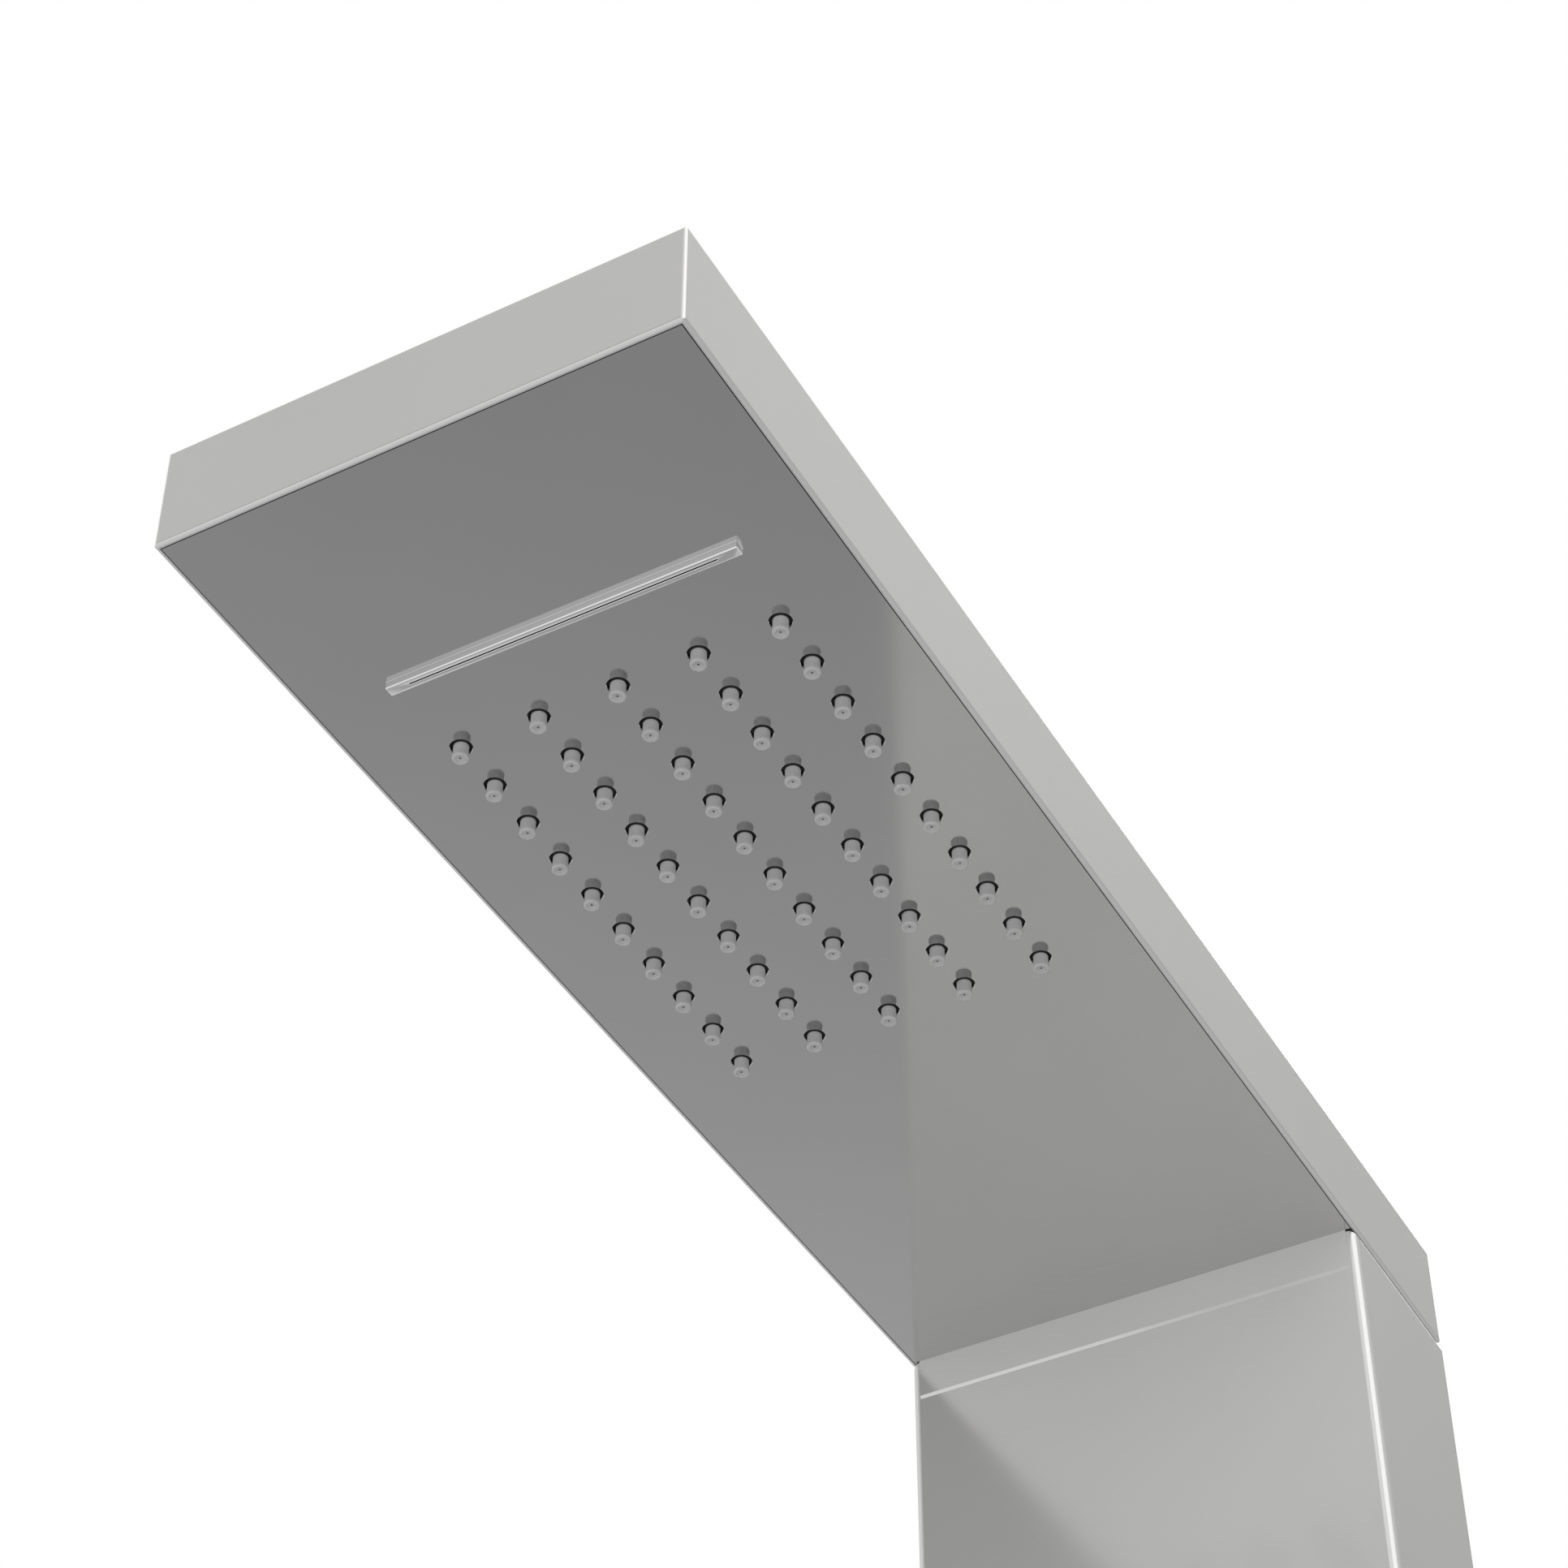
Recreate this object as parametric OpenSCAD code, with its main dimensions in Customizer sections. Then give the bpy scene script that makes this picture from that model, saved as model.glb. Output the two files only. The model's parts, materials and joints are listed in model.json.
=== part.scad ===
// Wall-hung shower panel: a slim steel column that carries a long flat rain head.
// X is across the panel, Y points to the wall, Z is up. The origin lies on the wall,
// midway between the two upper hanger screws. All sizes are in millimetres.

/* [Head] */
// Width of the head and of the column
panel_w = 140; // [134:1:180]
// Length of the head, from the wall to its tip
head_l = 439; // [425:1:520]
// Height of the head
head_h = 32; // [32:1:50]
// Height of the head's top above the upper hanger screws
head_rise = 110; // [90:1:150]
// Radius on the outer edges of the head
head_edge_r = 1; // [0.4:0.1:1.1]
// Thickness of the stainless sheet
sheet = 1.2; // [1:0.1:1.5]
// Hairline between an inset plate and the sheet around it
plate_gap = 0.25; // [0.15:0.05:0.4]
// Height of the folded edge of the underside plate
plate_fold_h = 8; // [5:1:12]

/* [Rain nozzles] */
// Nozzles across the head
nozzle_cols = 5; // [3:1:5]
// Nozzles along the head
nozzle_rows = 10; // [6:1:10]
// Distance from the head's side to the middle of the outer nozzles
nozzle_side = 26; // [24:0.5:34]
// Distance between nozzles along the head
nozzle_pitch_y = 15.3; // [12:0.1:16]
// Distance from the tip of the head to the first row
nozzle_inset = 89.8; // [89:0.1:100]
// Diameter of a nozzle
nozzle_d = 3.9; // [3:0.1:4.2]
// Diameter of a nozzle's flared tip
nozzle_tip_d = 4.4; // [3.5:0.1:4.6]
// Length of the flared tip
nozzle_flare_h = 1.4; // [0.8:0.1:2]
// How far the nozzles stand out below the plate
nozzle_drop = 4; // [2.5:0.1:6]
// Diameter of the hollow in a nozzle's end
nozzle_cup_d = 2.9; // [2:0.1:3]
// Depth of the hollow in a nozzle's end
nozzle_cup_h = 0.6; // [0.3:0.1:1]
// Diameter of the water bore of a nozzle
nozzle_bore_d = 1.2; // [0.8:0.1:1.6]
// Diameter of the holes in the underside plate
nozzle_hole_d = 5.2; // [4.8:0.1:5.6]
// Size of the softened edge of each hole
hole_soft = 0.3; // [0.1:0.05:0.4]
// Thickness of the silicone mat
mat_t = 1.5; // [1:0.1:2]

/* [Waterfall outlet] */
// Distance from the head's side to the end of the waterfall spout
spout_side = 22.25; // [21:0.25:30]
// Thickness of the waterfall spout
spout_t = 3; // [2.4:0.1:4]
// How far the spout stands out below the plate
spout_drop = 2; // [1:0.1:4]
// Distance from the end of the spout to the end of the water slit
slit_end = 5.75; // [3:0.25:17]
// Height of the water slit
slit_t = 1; // [0.6:0.1:1.4]
// Distance from the tip of the head to the middle of the spout
spout_inset = 63.9; // [40:0.1:64]
// Thickness of the flange on top of the spout
spout_flange_t = 1.5; // [1:0.1:2]
// Thickness of the gasket under the spout's flange
gasket_t = 1; // [0.6:0.1:1.4]

/* [Water chambers] */
// Height of the chamber covers
chamber_h = 11.5; // [9:0.5:12]
// Wall of the chamber covers
chamber_wall = 2; // [1.5:0.1:2]
// Thickness of the chamber flanges
chamber_flange_t = 2.5; // [2:0.1:3]
// Room between the outer nozzles and the chamber wall
chamber_margin = 4.5; // [4:0.1:6]
// Distance from the chamber wall to a stud
stud_edge = 4; // [3.5:0.1:4.5]
// Diameter of the studs
stud_d = 3; // [2.5:0.1:3.5]
// Thickness of the nuts on the studs
stud_nut_t = 2.4; // [2:0.1:3]
// Width across the flats of the nuts on the studs
stud_nut_af = 5.5; // [5:0.1:6]
// Half depth of the waterfall chamber
fall_half_y = 4; // [3:0.1:4.5]
// Room between the spout's end and the end of its chamber
fall_end_room = 2.2; // [1:0.1:3]
// Width of the narrow flange along the waterfall chamber
fall_flange_w = 2; // [1:0.1:3]

/* [Column] */
// Depth of the column, from the wall to its front
col_d = 64.5; // [62:0.5:90]
// Height of the whole panel
panel_h = 1300; // [1290:1:1600]
// Radius of the column's front edges
col_edge_r = 3; // [2:0.1:5]
// Radius of the upper edges of the column's sides
neck_r = 2.5; // [2:0.1:4]
// Gap between the column and the head
seam = 0.4; // [0.3:0.1:1]
// Height of the shallow band at the top of the column's front
band_h = 12.5; // [8:0.5:20]
// How far the shallow band stands out
band_out = 0.3; // [0.1:0.05:0.5]
// Height of the band's sloping lower edge
band_slope = 1; // [0.5:0.25:3]
// Width of the folded lips at the back of the column
lip_w = 14; // [12:0.5:16]
// Height of the folded edge of the bottom cap
cap_fold_h = 12; // [10:1:20]

/* [Hanging] */
// Height of the lower hanger screws above the column's foot
hanger_rise = 60; // [40:1:70]
// Distance from the end of a wall bracket to its screw hole
hanger_hole_edge = 10; // [6:0.5:25]
// Diameter of the screw holes of a wall bracket
hanger_hole_d = 5.5; // [4:0.1:6.5]
// Distance from the column's side to the end of a wall bracket
bracket_side = 25; // [22:0.5:26]
// Height of a wall bracket
bracket_h = 40; // [36:1:50]
// Thickness of a wall bracket
bracket_t = 2; // [1.5:0.1:2.5]
// Height of the lip that a rail hooks behind
bracket_lip_h = 14; // [10:1:16]
// Thickness of a hanging rail
rail_t = 1.5; // [1:0.1:2]
// Height of a hanging rail
rail_h = 32; // [30:1:40]
// Room for the wall screws' heads behind the rail
rail_room = 5; // [4:0.1:6]
// Diameter of the holes that let a screwdriver through the rail
driver_hole_d = 14; // [10:0.5:16]
// Diameter of the rivets and their holes
rivet_d = 4; // [3:0.1:5]
// Diameter of a rivet's head
rivet_head_d = 7; // [6:0.1:8]
// Thickness of a rivet's head
rivet_head_t = 1.4; // [1:0.1:2]

/* [Water pipes] */
// Outer diameter of the two pipes that feed the head
feed_d = 10; // [8:0.5:10]
// Distance of the feed pipes from the middle
feed_x = 22; // [21:0.5:24]
// Distance of the pipes from the wall
pipe_y = 32; // [30:0.5:34]
// Outer diameter of the main pipes
main_d = 12; // [10:0.5:12]
// Wall of all pipes
pipe_wall = 1; // [0.8:0.1:1.5]
// Bend radius of all pipes
bend_r = 16; // [14:0.5:16]
// Wall around a pipe's socket
socket_wall = 1.8; // [1.5:0.1:2]
// Depth of a pipe's socket
socket_l = 10; // [8:0.5:12]
// Diameter of the holes that the feed pipes pass through
feed_hole_d = 14; // [12:0.5:15]

/* [Valves] */
// Height of the temperature valve above the column's foot
thermo_rise = 300; // [290:1:310]
// Height of the diverter above the column's foot
diverter_rise = 440; // [430:1:450]
// Diameter of the temperature valve's barrel
thermo_barrel_d = 50; // [48:0.5:52]
// Diameter of the temperature valve's neck
thermo_neck_d = 42; // [40:0.5:43]
// Diameter of the pocket in the temperature valve
thermo_pocket_d = 34.2; // [33:0.1:35]
// Diameter of the diverter's barrel
diverter_barrel_d = 44; // [42:0.5:46]
// Diameter of the diverter's neck
diverter_neck_d = 34; // [32:0.5:36]
// Diameter of the pocket in the diverter
diverter_pocket_d = 27.2; // [26:0.1:28]
// Length of the temperature valve's barrel behind the column's front
thermo_barrel_l = 50; // [49:0.5:54]
// Length of the diverter's barrel behind the column's front
diverter_barrel_l = 46; // [44:0.5:52]
// How far the valve necks stand out of the column's front
neck_out = 8; // [7:0.5:9]
// Depth of the temperature valve's pocket behind the front
thermo_pocket_l = 46; // [45.5:0.5:47]
// Depth of the diverter's pocket behind the front
diverter_pocket_l = 27; // [26:0.5:27]
// Distance of the supply inlets from the middle
inlet_x = 25; // [24:0.5:26]
// Diameter of the arms that carry the supply inlets
inlet_arm_d = 26; // [25:0.5:27]
// Length of the arms that carry the supply inlets
inlet_arm_l = 36; // [34:0.5:40]
// Outer diameter of a half-inch pipe thread
thread_d = 20.955; // [18:0.001:22]
// Length of the free pipe thread on an inlet or outlet
thread_l = 14; // [12:0.5:18]
// Diameter of the bore through a threaded piece
thread_bore_d = 14; // [12:0.5:15]
// Width across the flats of the inlet nipples
nipple_af = 24; // [23:0.5:26]

/* [Knobs and covers] */
// Diameter of the valve covers
cover_d = 64; // [62:0.5:70]
// Wall of the valve covers
cover_wall = 1.6; // [1.2:0.1:2]
// How far the valve covers stand out
cover_out = 14; // [13.5:0.5:16]
// Diameter of the knobs
knob_d = 46; // [42:0.5:50]
// Length of the knobs
knob_l = 30; // [28:0.5:34]
// Radius on a knob's front edge
knob_edge_r = 2; // [1:0.1:3]
// Diameter of the finger bar on the diverter knob
bar_d = 8; // [6:0.1:9]
// Length of the finger bar on the diverter knob
bar_l = 14; // [8:0.5:20]
// Number of grip flutes round the temperature knob
flute_count = 16; // [10:2:20]
// Diameter of the cutter for the grip flutes
flute_d = 5; // [3:0.1:5]
// Diameter of the safety button
button_d = 9; // [7:0.1:10]
// Length of the safety button
button_l = 9; // [8:0.1:10]
// Travel of the safety button
button_travel = 1.8; // [1:0.1:2]
// Room for the spring under the pressed button
button_spring_l = 2.5; // [2:0.1:3]

/* [Body jets] */
// Number of body jets
jet_count = 3; // [3:1:3]
// Place of the first jet, as a share of the way down from the hanger screws to the diverter
first_jet_share = 0.44; // [0.4:0.01:0.48]
// Height of the last jet above the diverter
last_jet_rise = 160; // [150:1:180]
// Radius of a jet's ball
jet_ball_r = 12; // [11:0.1:12.5]
// Diameter of a jet's barrel
jet_barrel_d = 30; // [29:0.1:32]
// Width of a jet's square frame
jet_frame_w = 46; // [44:0.5:54]
// Corner radius of a jet's square frame
jet_frame_r = 4; // [2:0.1:8]
// Number of spray holes in a jet's outer ring
jet_ring_holes = 8; // [6:1:10]
// Diameter of the spray holes of a jet
jet_hole_d = 1.3; // [1:0.1:1.6]

/* [Hand shower connection] */
// Height of the hose outlet above the column's foot
hand_rise = 160; // [150:1:170]
// Distance of the hand shower's pipe from the middle
hand_pipe_x = 50; // [49:0.5:54]
// Height of the cradle above the diverter
cradle_rise = 110; // [50:1:130]
// Distance from the column's side to the middle of the cradle
cradle_out = 18.5; // [18:0.5:24]
// Inner diameter of the cradle's cup
cup_d = 24; // [22:0.5:25]
// Wall of the cradle's cup
cup_wall = 4; // [3:0.1:4.5]
// Height of the cradle's cup
cup_h = 26; // [20:1:30]
// Width of the slot in the cup
cup_slot = 16; // [12:0.5:18]
// Diameter of the post that carries the cradle
post_d = 14; // [12:0.5:15]

/* [Hidden] */
$fn = 48;

// How far a cut runs past the face it opens
over = 2;
// Running clearance on the radius between a turning piece and its seat
run_gap = 0.05;
// Clearance on the radius of a pipe, thread or bolt in its hole
fit_gap = 0.05;
// Clearance between faces of neighbours that don't touch
face_gap = 0.3;
// Clearance round the spout in the plate
spout_gap = 0.15;

// Heights and places of the head
z_top = head_rise;
z_under = z_top - head_h;
z_neck = z_under - seam;
z_foot = z_top - panel_h;
plate_top = z_under + sheet;
mat_top = plate_top + mat_t;
rain_top = mat_top + chamber_h;
fall_base = plate_top + gasket_t + spout_flange_t;
fall_top = fall_base + chamber_h;
nozzle_span_x = panel_w - 2 * nozzle_side;
nozzle_pitch_x = nozzle_span_x / (nozzle_cols - 1);
nozzle_span_y = (nozzle_rows - 1) * nozzle_pitch_y;
nozzle_y = -head_l + nozzle_inset;
rain_y = nozzle_y + nozzle_span_y / 2;
fall_y = -head_l + spout_inset;
rain_half_x = nozzle_span_x / 2 + chamber_margin;
rain_half_y = nozzle_span_y / 2 + chamber_margin;
spout_w = panel_w - 2 * spout_side;
slit_w = spout_w - 2 * slit_end;
fall_half_x = spout_w / 2 + fall_end_room;
stud_out = chamber_wall + stud_edge;
stud_tail = 1;
rain_studs = [
    for (sx = [-1, 1], sy = [-1, 0, 1]) [sx * (rain_half_x + stud_out), rain_y + sy * rain_half_y],
    for (sy = [-1, 1]) [0, rain_y + sy * (rain_half_y + stud_out)]
];
fall_studs = [for (sx = [-1, 1]) [sx * (fall_half_x + stud_out), fall_y]];
rain_nut_z = mat_top + chamber_flange_t;
fall_nut_z = fall_base + chamber_flange_t;

// Pipes
socket_d = feed_d + 2 * fit_gap + 2 * socket_wall;
main_socket_d = main_d + 2 * fit_gap + 2 * socket_wall;
z_feed = fall_top + socket_d / 2 + face_gap;
elbow_l = socket_l + socket_d / 2;
z_thermo = z_foot + thermo_rise;
z_diverter = z_foot + diverter_rise;
z_hand = z_foot + hand_rise;
pipe_t = col_d - pipe_y;
boss_l = diverter_barrel_d / 2 + socket_l;

// Bolts of the neck
neck_bolt_d = 5;
neck_bolt_hole_d = 5.5;
neck_bolt_af = 8;
neck_bolt_head_t = 3.5;
neck_nut_t = 4;
neck_bolt_tail = 1;
neck_bolt_edge_x = 18;
neck_bolt_edge_y = 14;
neck_bolts = [for (sx = [-1, 1], y = [-neck_bolt_edge_y, -col_d + neck_bolt_edge_y])
    [sx * (panel_w / 2 - neck_bolt_edge_x), y]];
seal_inset = 4;
stud_hole_gap = 0.2;

// Hanging
least_fold_r = 0.3;
z_lower = z_foot + hanger_rise;
bracket_w = panel_w - 2 * bracket_side;
hanger_hole_pitch = bracket_w - 2 * hanger_hole_edge;
shelf_z = -bracket_h / 2 + bracket_t;
blade_y = -bracket_t - rail_room;
rivet_x = panel_w / 2 - lip_w / 2;
rivet_z = rail_h / 4;
rail_mid_z = shelf_z + rail_h / 2;
rail_foot_w = 4;
thermo_outlet_l = thermo_barrel_d / 2 + socket_l;

// Valves, measured outwards from the column's front
gland_t = 4;
ring_l = 5;
ring_wall = 6;
gland_wall = 3;
neck_hole_gap = 0.3;
stem_d = 12;
stem_gap = 1;
stem_short = 6;
sleeve_wall = 4;
sleeve_floor = 3;
thermo_sleeve_d = thermo_pocket_d - 4 * fit_gap;
thermo_sleeve_in_d = thermo_sleeve_d - 2 * sleeve_wall;
thermo_plenum = 2;
thermo_sleeve_back = -thermo_pocket_l + thermo_plenum;
thermo_way_d = 5;
thermo_way_r = 21;
side_way_d = 7;
side_way_shift = 4.7;
diverter_sleeve_d = diverter_pocket_d - 4 * fit_gap;
diverter_sleeve_wall = 3;
diverter_sleeve_in_d = diverter_sleeve_d - 2 * diverter_sleeve_wall;
seal_d = 1.8;
seal_gap = 0.02;
spindle_front = neck_out - face_gap;
knob_start = cover_out + 2 * face_gap;
knob_end = knob_start + knob_l;
stem_end = knob_end - stem_short;
disc_t = 4;
disc_gap = 0.1;
disc_port_d = 4;
disc_port_r = 6;
port_angles = [0, 72, 216, 288];
rest_angle = 144;
disc_neck_d = 7;
disc_neck_l = 5;
disc_back = -diverter_pocket_l + sleeve_floor;
supply_t = disc_back + 2 * disc_t + disc_gap + disc_neck_l / 2;
hand_way_y = -9;
supply_way_d = 6;
supply_way_y = -17.5;
supply_end = 14;
supply_window_d = 4;
thermo_spindle_l = 24;
spool_l = 5;
spool_port_d = 4;
spool_port_r = 8.5;
wax_bulb_l = 10;
wax_d = 9;
wax_stem_d = 7;
wax_pin_d = 4.5;
wax_pin_l = 8;
wax_tip = 0.7;
spring_wire = 1.2;
spring_turns = 2;
spring_gap = 0.8;
window_w = 9;
window_l = 3.5;
window_open = 3;
seal_edge = 1.6;
thermo_seals = [thermo_sleeve_back + seal_edge, -pipe_t, -pipe_t + 2 * side_way_shift + seal_edge];
diverter_seals = [-diverter_pocket_l + 2 * seal_edge, -seal_edge];
button_spring_d = 6;
button_wire = 0.7;
cover_hole_d = 20;
cover_edge_r = 2;
flute_stop = 5;
button_z = 16;
button_edge_r = 0.5;
button_seat = knob_d / 2 - button_l - button_spring_l;
outlet_bore_d = 8;
nipple_hex_l = 8;
nipple_seat_l = 11;
strainer_d = 17;
strainer_t = 2;
strainer_hole_d = 1.6;
strainer_ring_r = 5;
strainer_ring_holes = 10;

// Body jets, measured outwards from the column's front
jet_centre = 1;
jet_flange_t = 2.5;
jet_flange_w = 40;
jet_frame_t = 5.5;
jet_face = 9;
jet_back = 22;
jet_tail_l = 6;
jet_nut_t = 6;
jet_nut_w = 42;
jet_ball_gap = 0.1;
jet_ring_r = 5.5;
jet_inlet_d = 9;
jet_room_d = 14;
jet_room_l = 5;
jet_face_t = 1.5;
first_jet_z = z_diverter * first_jet_share;
jet_pitch = (first_jet_z - z_diverter - last_jet_rise) / (jet_count - 1);
jet_zs = [for (i = [0 : jet_count - 1]) first_jet_z - i * jet_pitch];

// Hand shower connection
hand_collar_d = 32;
hand_collar_t = 6;
hand_body_d = 24;
hand_reach = 24;
hand_shank_l = 20;
hand_nut_t = 6;
hand_nut_af = 28;
hand_adapter_d = 26;
hand_leg = 14;
side_boss_l = 34;
post_base_d = 26;
post_base_t = 3;
post_screw_d = 5;
sleeve_out_d = 22;
cradle_l = 18;
cradle_y = -36;
cup_sink = 3;
cup_y = cradle_y - sleeve_out_d / 2 - cup_d / 2 - cup_wall + cup_sink;
post_cap_d = 20;
post_cap_t = 4;
cradle_x = panel_w / 2 + cradle_out;
z_cradle = z_diverter + cradle_rise;

// Screws of the bottom cap
cap_screw_d = 3;
cap_screw_head_d = 5.8;
cap_screw_l = 7;
cap_screw_z = z_foot + cap_fold_h / 2 + sheet / 2;
cap_screw_edge = 16;
cap_screw_ys = [-col_d + cap_screw_edge, -cap_screw_edge];

steel = [0.72, 0.72, 0.71];
chrome = [0.82, 0.83, 0.85];
brass = [0.76, 0.62, 0.33];
silicone = [0.82, 0.82, 0.82];
grey_plastic = [0.36, 0.37, 0.39];
black_rubber = [0.12, 0.12, 0.12];
red_plastic = [0.75, 0.1, 0.08];
ceramic = [0.93, 0.92, 0.88];

// A rectangle with round corners, from the origin
module rounded_rect(w, h, r) {
    translate([r, 0]) square([w - 2 * r, h]);
    translate([0, r]) square([w, h - 2 * r]);
    for (x = [r, w - r], y = [r, h - r]) translate([x, y]) circle(r = r);
}

// A block with all its edges rounded, from the origin
module rounded_block(size, r) {
    intersection() {
        linear_extrude(size[2]) rounded_rect(size[0], size[1], r);
        translate([0, size[1], 0]) rotate([90, 0, 0])
            linear_extrude(size[1]) rounded_rect(size[0], size[2], r);
        rotate([90, 0, 90]) linear_extrude(size[0]) rounded_rect(size[1], size[2], r);
    }
}

// Puts its children on the column's front: their Z points out of the panel, their Y up
module at_front(x, z) {
    translate([x, -col_d, z]) rotate([90, 0, 0]) children();
}

// A round bar from t0 to t1 along Z
module bar(d, t0, t1) {
    translate([0, 0, t0]) cylinder(d = d, h = t1 - t0);
}

// A hexagonal bar from t0 to t1 along Z, by its width across the flats
module hex_bar(af, t0, t1) {
    translate([0, 0, t0]) cylinder(d = af / cos(30), h = t1 - t0, $fn = 6);
}

// A centred square bar with round corners from t0 to t1 along Z
module square_bar(w, r, t0, t1) {
    translate([-w / 2, -w / 2, t0]) linear_extrude(t1 - t0) rounded_rect(w, w, r);
}

// A quarter of a pipe bend from +Z at the origin towards +X
module bend(d, r) {
    translate([r, 0, 0]) rotate([90, 0, 0]) rotate([0, 0, 90])
        rotate_extrude(angle = 90) translate([r, 0]) circle(d = d);
}

module nozzle_places() {
    for (i = [0 : nozzle_cols - 1], j = [0 : nozzle_rows - 1])
        translate([i * nozzle_pitch_x - nozzle_span_x / 2, nozzle_y + j * nozzle_pitch_y, 0]) children();
}

// Folded steel box of the head, open below
module head_shell() {
    color(steel) difference() {
        translate([-panel_w / 2, -head_l, z_under]) rounded_block([panel_w, head_l, head_h], head_edge_r);
        translate([-panel_w / 2 + sheet, -head_l + sheet, z_under - over])
            cube([panel_w - 2 * sheet, head_l - 2 * sheet, head_h - sheet + over]);
    }
}

// Underside of the head: a folded tray with the nozzle holes and the weld studs
module head_plate() {
    inset = sheet + plate_gap;
    fold = inset + sheet;
    soft_d = nozzle_hole_d + 2 * hole_soft;
    color(steel) {
        difference() {
            translate([-panel_w / 2 + inset, -head_l + inset, z_under])
                cube([panel_w - 2 * inset, head_l - 2 * inset, plate_fold_h]);
            translate([-panel_w / 2 + fold, -head_l + fold, plate_top])
                cube([panel_w - 2 * fold, head_l - 2 * fold, plate_fold_h]);
            nozzle_places() {
                bar(nozzle_hole_d, z_under - over, plate_top + over);
                translate([0, 0, z_under]) cylinder(d1 = soft_d, d2 = nozzle_hole_d, h = hole_soft);
            }
            translate([-spout_w / 2 - spout_gap, fall_y - spout_t / 2 - spout_gap, z_under - over])
                cube([spout_w + 2 * spout_gap, spout_t + 2 * spout_gap, sheet + 2 * over]);
            neck_holes(z_under - over, plate_top + over);
        }
        for (p = rain_studs) translate([p[0], p[1], 0])
            bar(stud_d, z_under + sheet / 2, rain_nut_z + stud_nut_t + stud_tail);
        for (p = fall_studs) translate([p[0], p[1], 0])
            bar(stud_d, z_under + sheet / 2, fall_nut_z + stud_nut_t + stud_tail);
    }
}

// Holes through the neck for the feed pipes and the bolts
module neck_holes(z0, z1) {
    for (s = [-1, 1]) translate([s * feed_x, -pipe_y, 0]) bar(feed_hole_d, z0, z1);
    for (p = neck_bolts) translate([p[0], p[1], 0]) bar(neck_bolt_hole_d, z0, z1);
}

// Silicone mat that carries all the rain nozzles
module nozzle_mat() {
    tip = z_under - nozzle_drop;
    half_x = rain_half_x + stud_out + stud_edge;
    half_y = rain_half_y + stud_out + stud_edge;
    color(silicone) difference() {
        union() {
            translate([-half_x, rain_y - half_y, plate_top]) cube([2 * half_x, 2 * half_y, mat_t]);
            nozzle_places() {
                bar(nozzle_d, tip + nozzle_flare_h, plate_top + mat_t / 2);
                translate([0, 0, tip]) cylinder(d1 = nozzle_tip_d, d2 = nozzle_d, h = nozzle_flare_h);
            }
        }
        nozzle_places() {
            bar(nozzle_bore_d, tip - over, mat_top + over);
            bar(nozzle_cup_d, tip - over, tip + nozzle_cup_h);
        }
        stud_holes(rain_studs);
    }
}

module stud_holes(places) {
    for (p = places) translate([p[0], p[1], 0]) bar(stud_d + 2 * stud_hole_gap, plate_top - over, z_feed);
}

// A shallow cover with a flange, open below, that holds water over the plate
module chamber_cover(half_x, half_y, flange_x, flange_y, mid_y, z0, port_x) {
    wx = half_x + chamber_wall;
    wy = half_y + chamber_wall;
    difference() {
        union() {
            translate([-wx, mid_y - wy, z0]) cube([2 * wx, 2 * wy, chamber_h]);
            translate([-wx - flange_x, mid_y - wy - flange_y, z0])
                cube([2 * (wx + flange_x), 2 * (wy + flange_y), chamber_flange_t]);
        }
        translate([-half_x, mid_y - half_y, z0 - over])
            cube([2 * half_x, 2 * half_y, chamber_h - chamber_wall + over]);
        translate([port_x, mid_y, 0]) bar(feed_d + 2 * fit_gap, z0, z0 + chamber_h + over);
    }
}

module rain_chamber() {
    color(grey_plastic) difference() {
        chamber_cover(rain_half_x, rain_half_y, 2 * stud_edge, 2 * stud_edge, rain_y, mat_top, -feed_x);
        stud_holes(rain_studs);
    }
}

module waterfall_chamber() {
    color(grey_plastic) difference() {
        chamber_cover(fall_half_x, fall_half_y, 2 * stud_edge, fall_flange_w, fall_y, fall_base, feed_x);
        stud_holes(fall_studs);
    }
}

// Flat pad with the outline of the waterfall chamber's flange
module fall_pad(z0, t) {
    wx = fall_half_x + chamber_wall + 2 * stud_edge;
    wy = fall_half_y + chamber_wall + fall_flange_w;
    translate([-wx, fall_y - wy, z0]) cube([2 * wx, 2 * wy, t]);
}

// Thin flanged spout that pours the waterfall
module waterfall_spout() {
    color(steel) difference() {
        union() {
            fall_pad(plate_top + gasket_t, spout_flange_t);
            translate([-spout_w / 2, fall_y - spout_t / 2, z_under - spout_drop])
                cube([spout_w, spout_t, spout_drop + sheet + gasket_t + spout_flange_t / 2]);
        }
        translate([-slit_w / 2, fall_y - slit_t / 2, z_under - spout_drop - over])
            cube([slit_w, slit_t, head_h]);
        stud_holes(fall_studs);
    }
}

module waterfall_gasket() {
    color(black_rubber) difference() {
        fall_pad(plate_top, gasket_t);
        translate([-spout_w / 2 - spout_gap, fall_y - spout_t / 2 - spout_gap, plate_top - over])
            cube([spout_w + 2 * spout_gap, spout_t + 2 * spout_gap, gasket_t + 2 * over]);
        stud_holes(fall_studs);
    }
}

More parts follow.
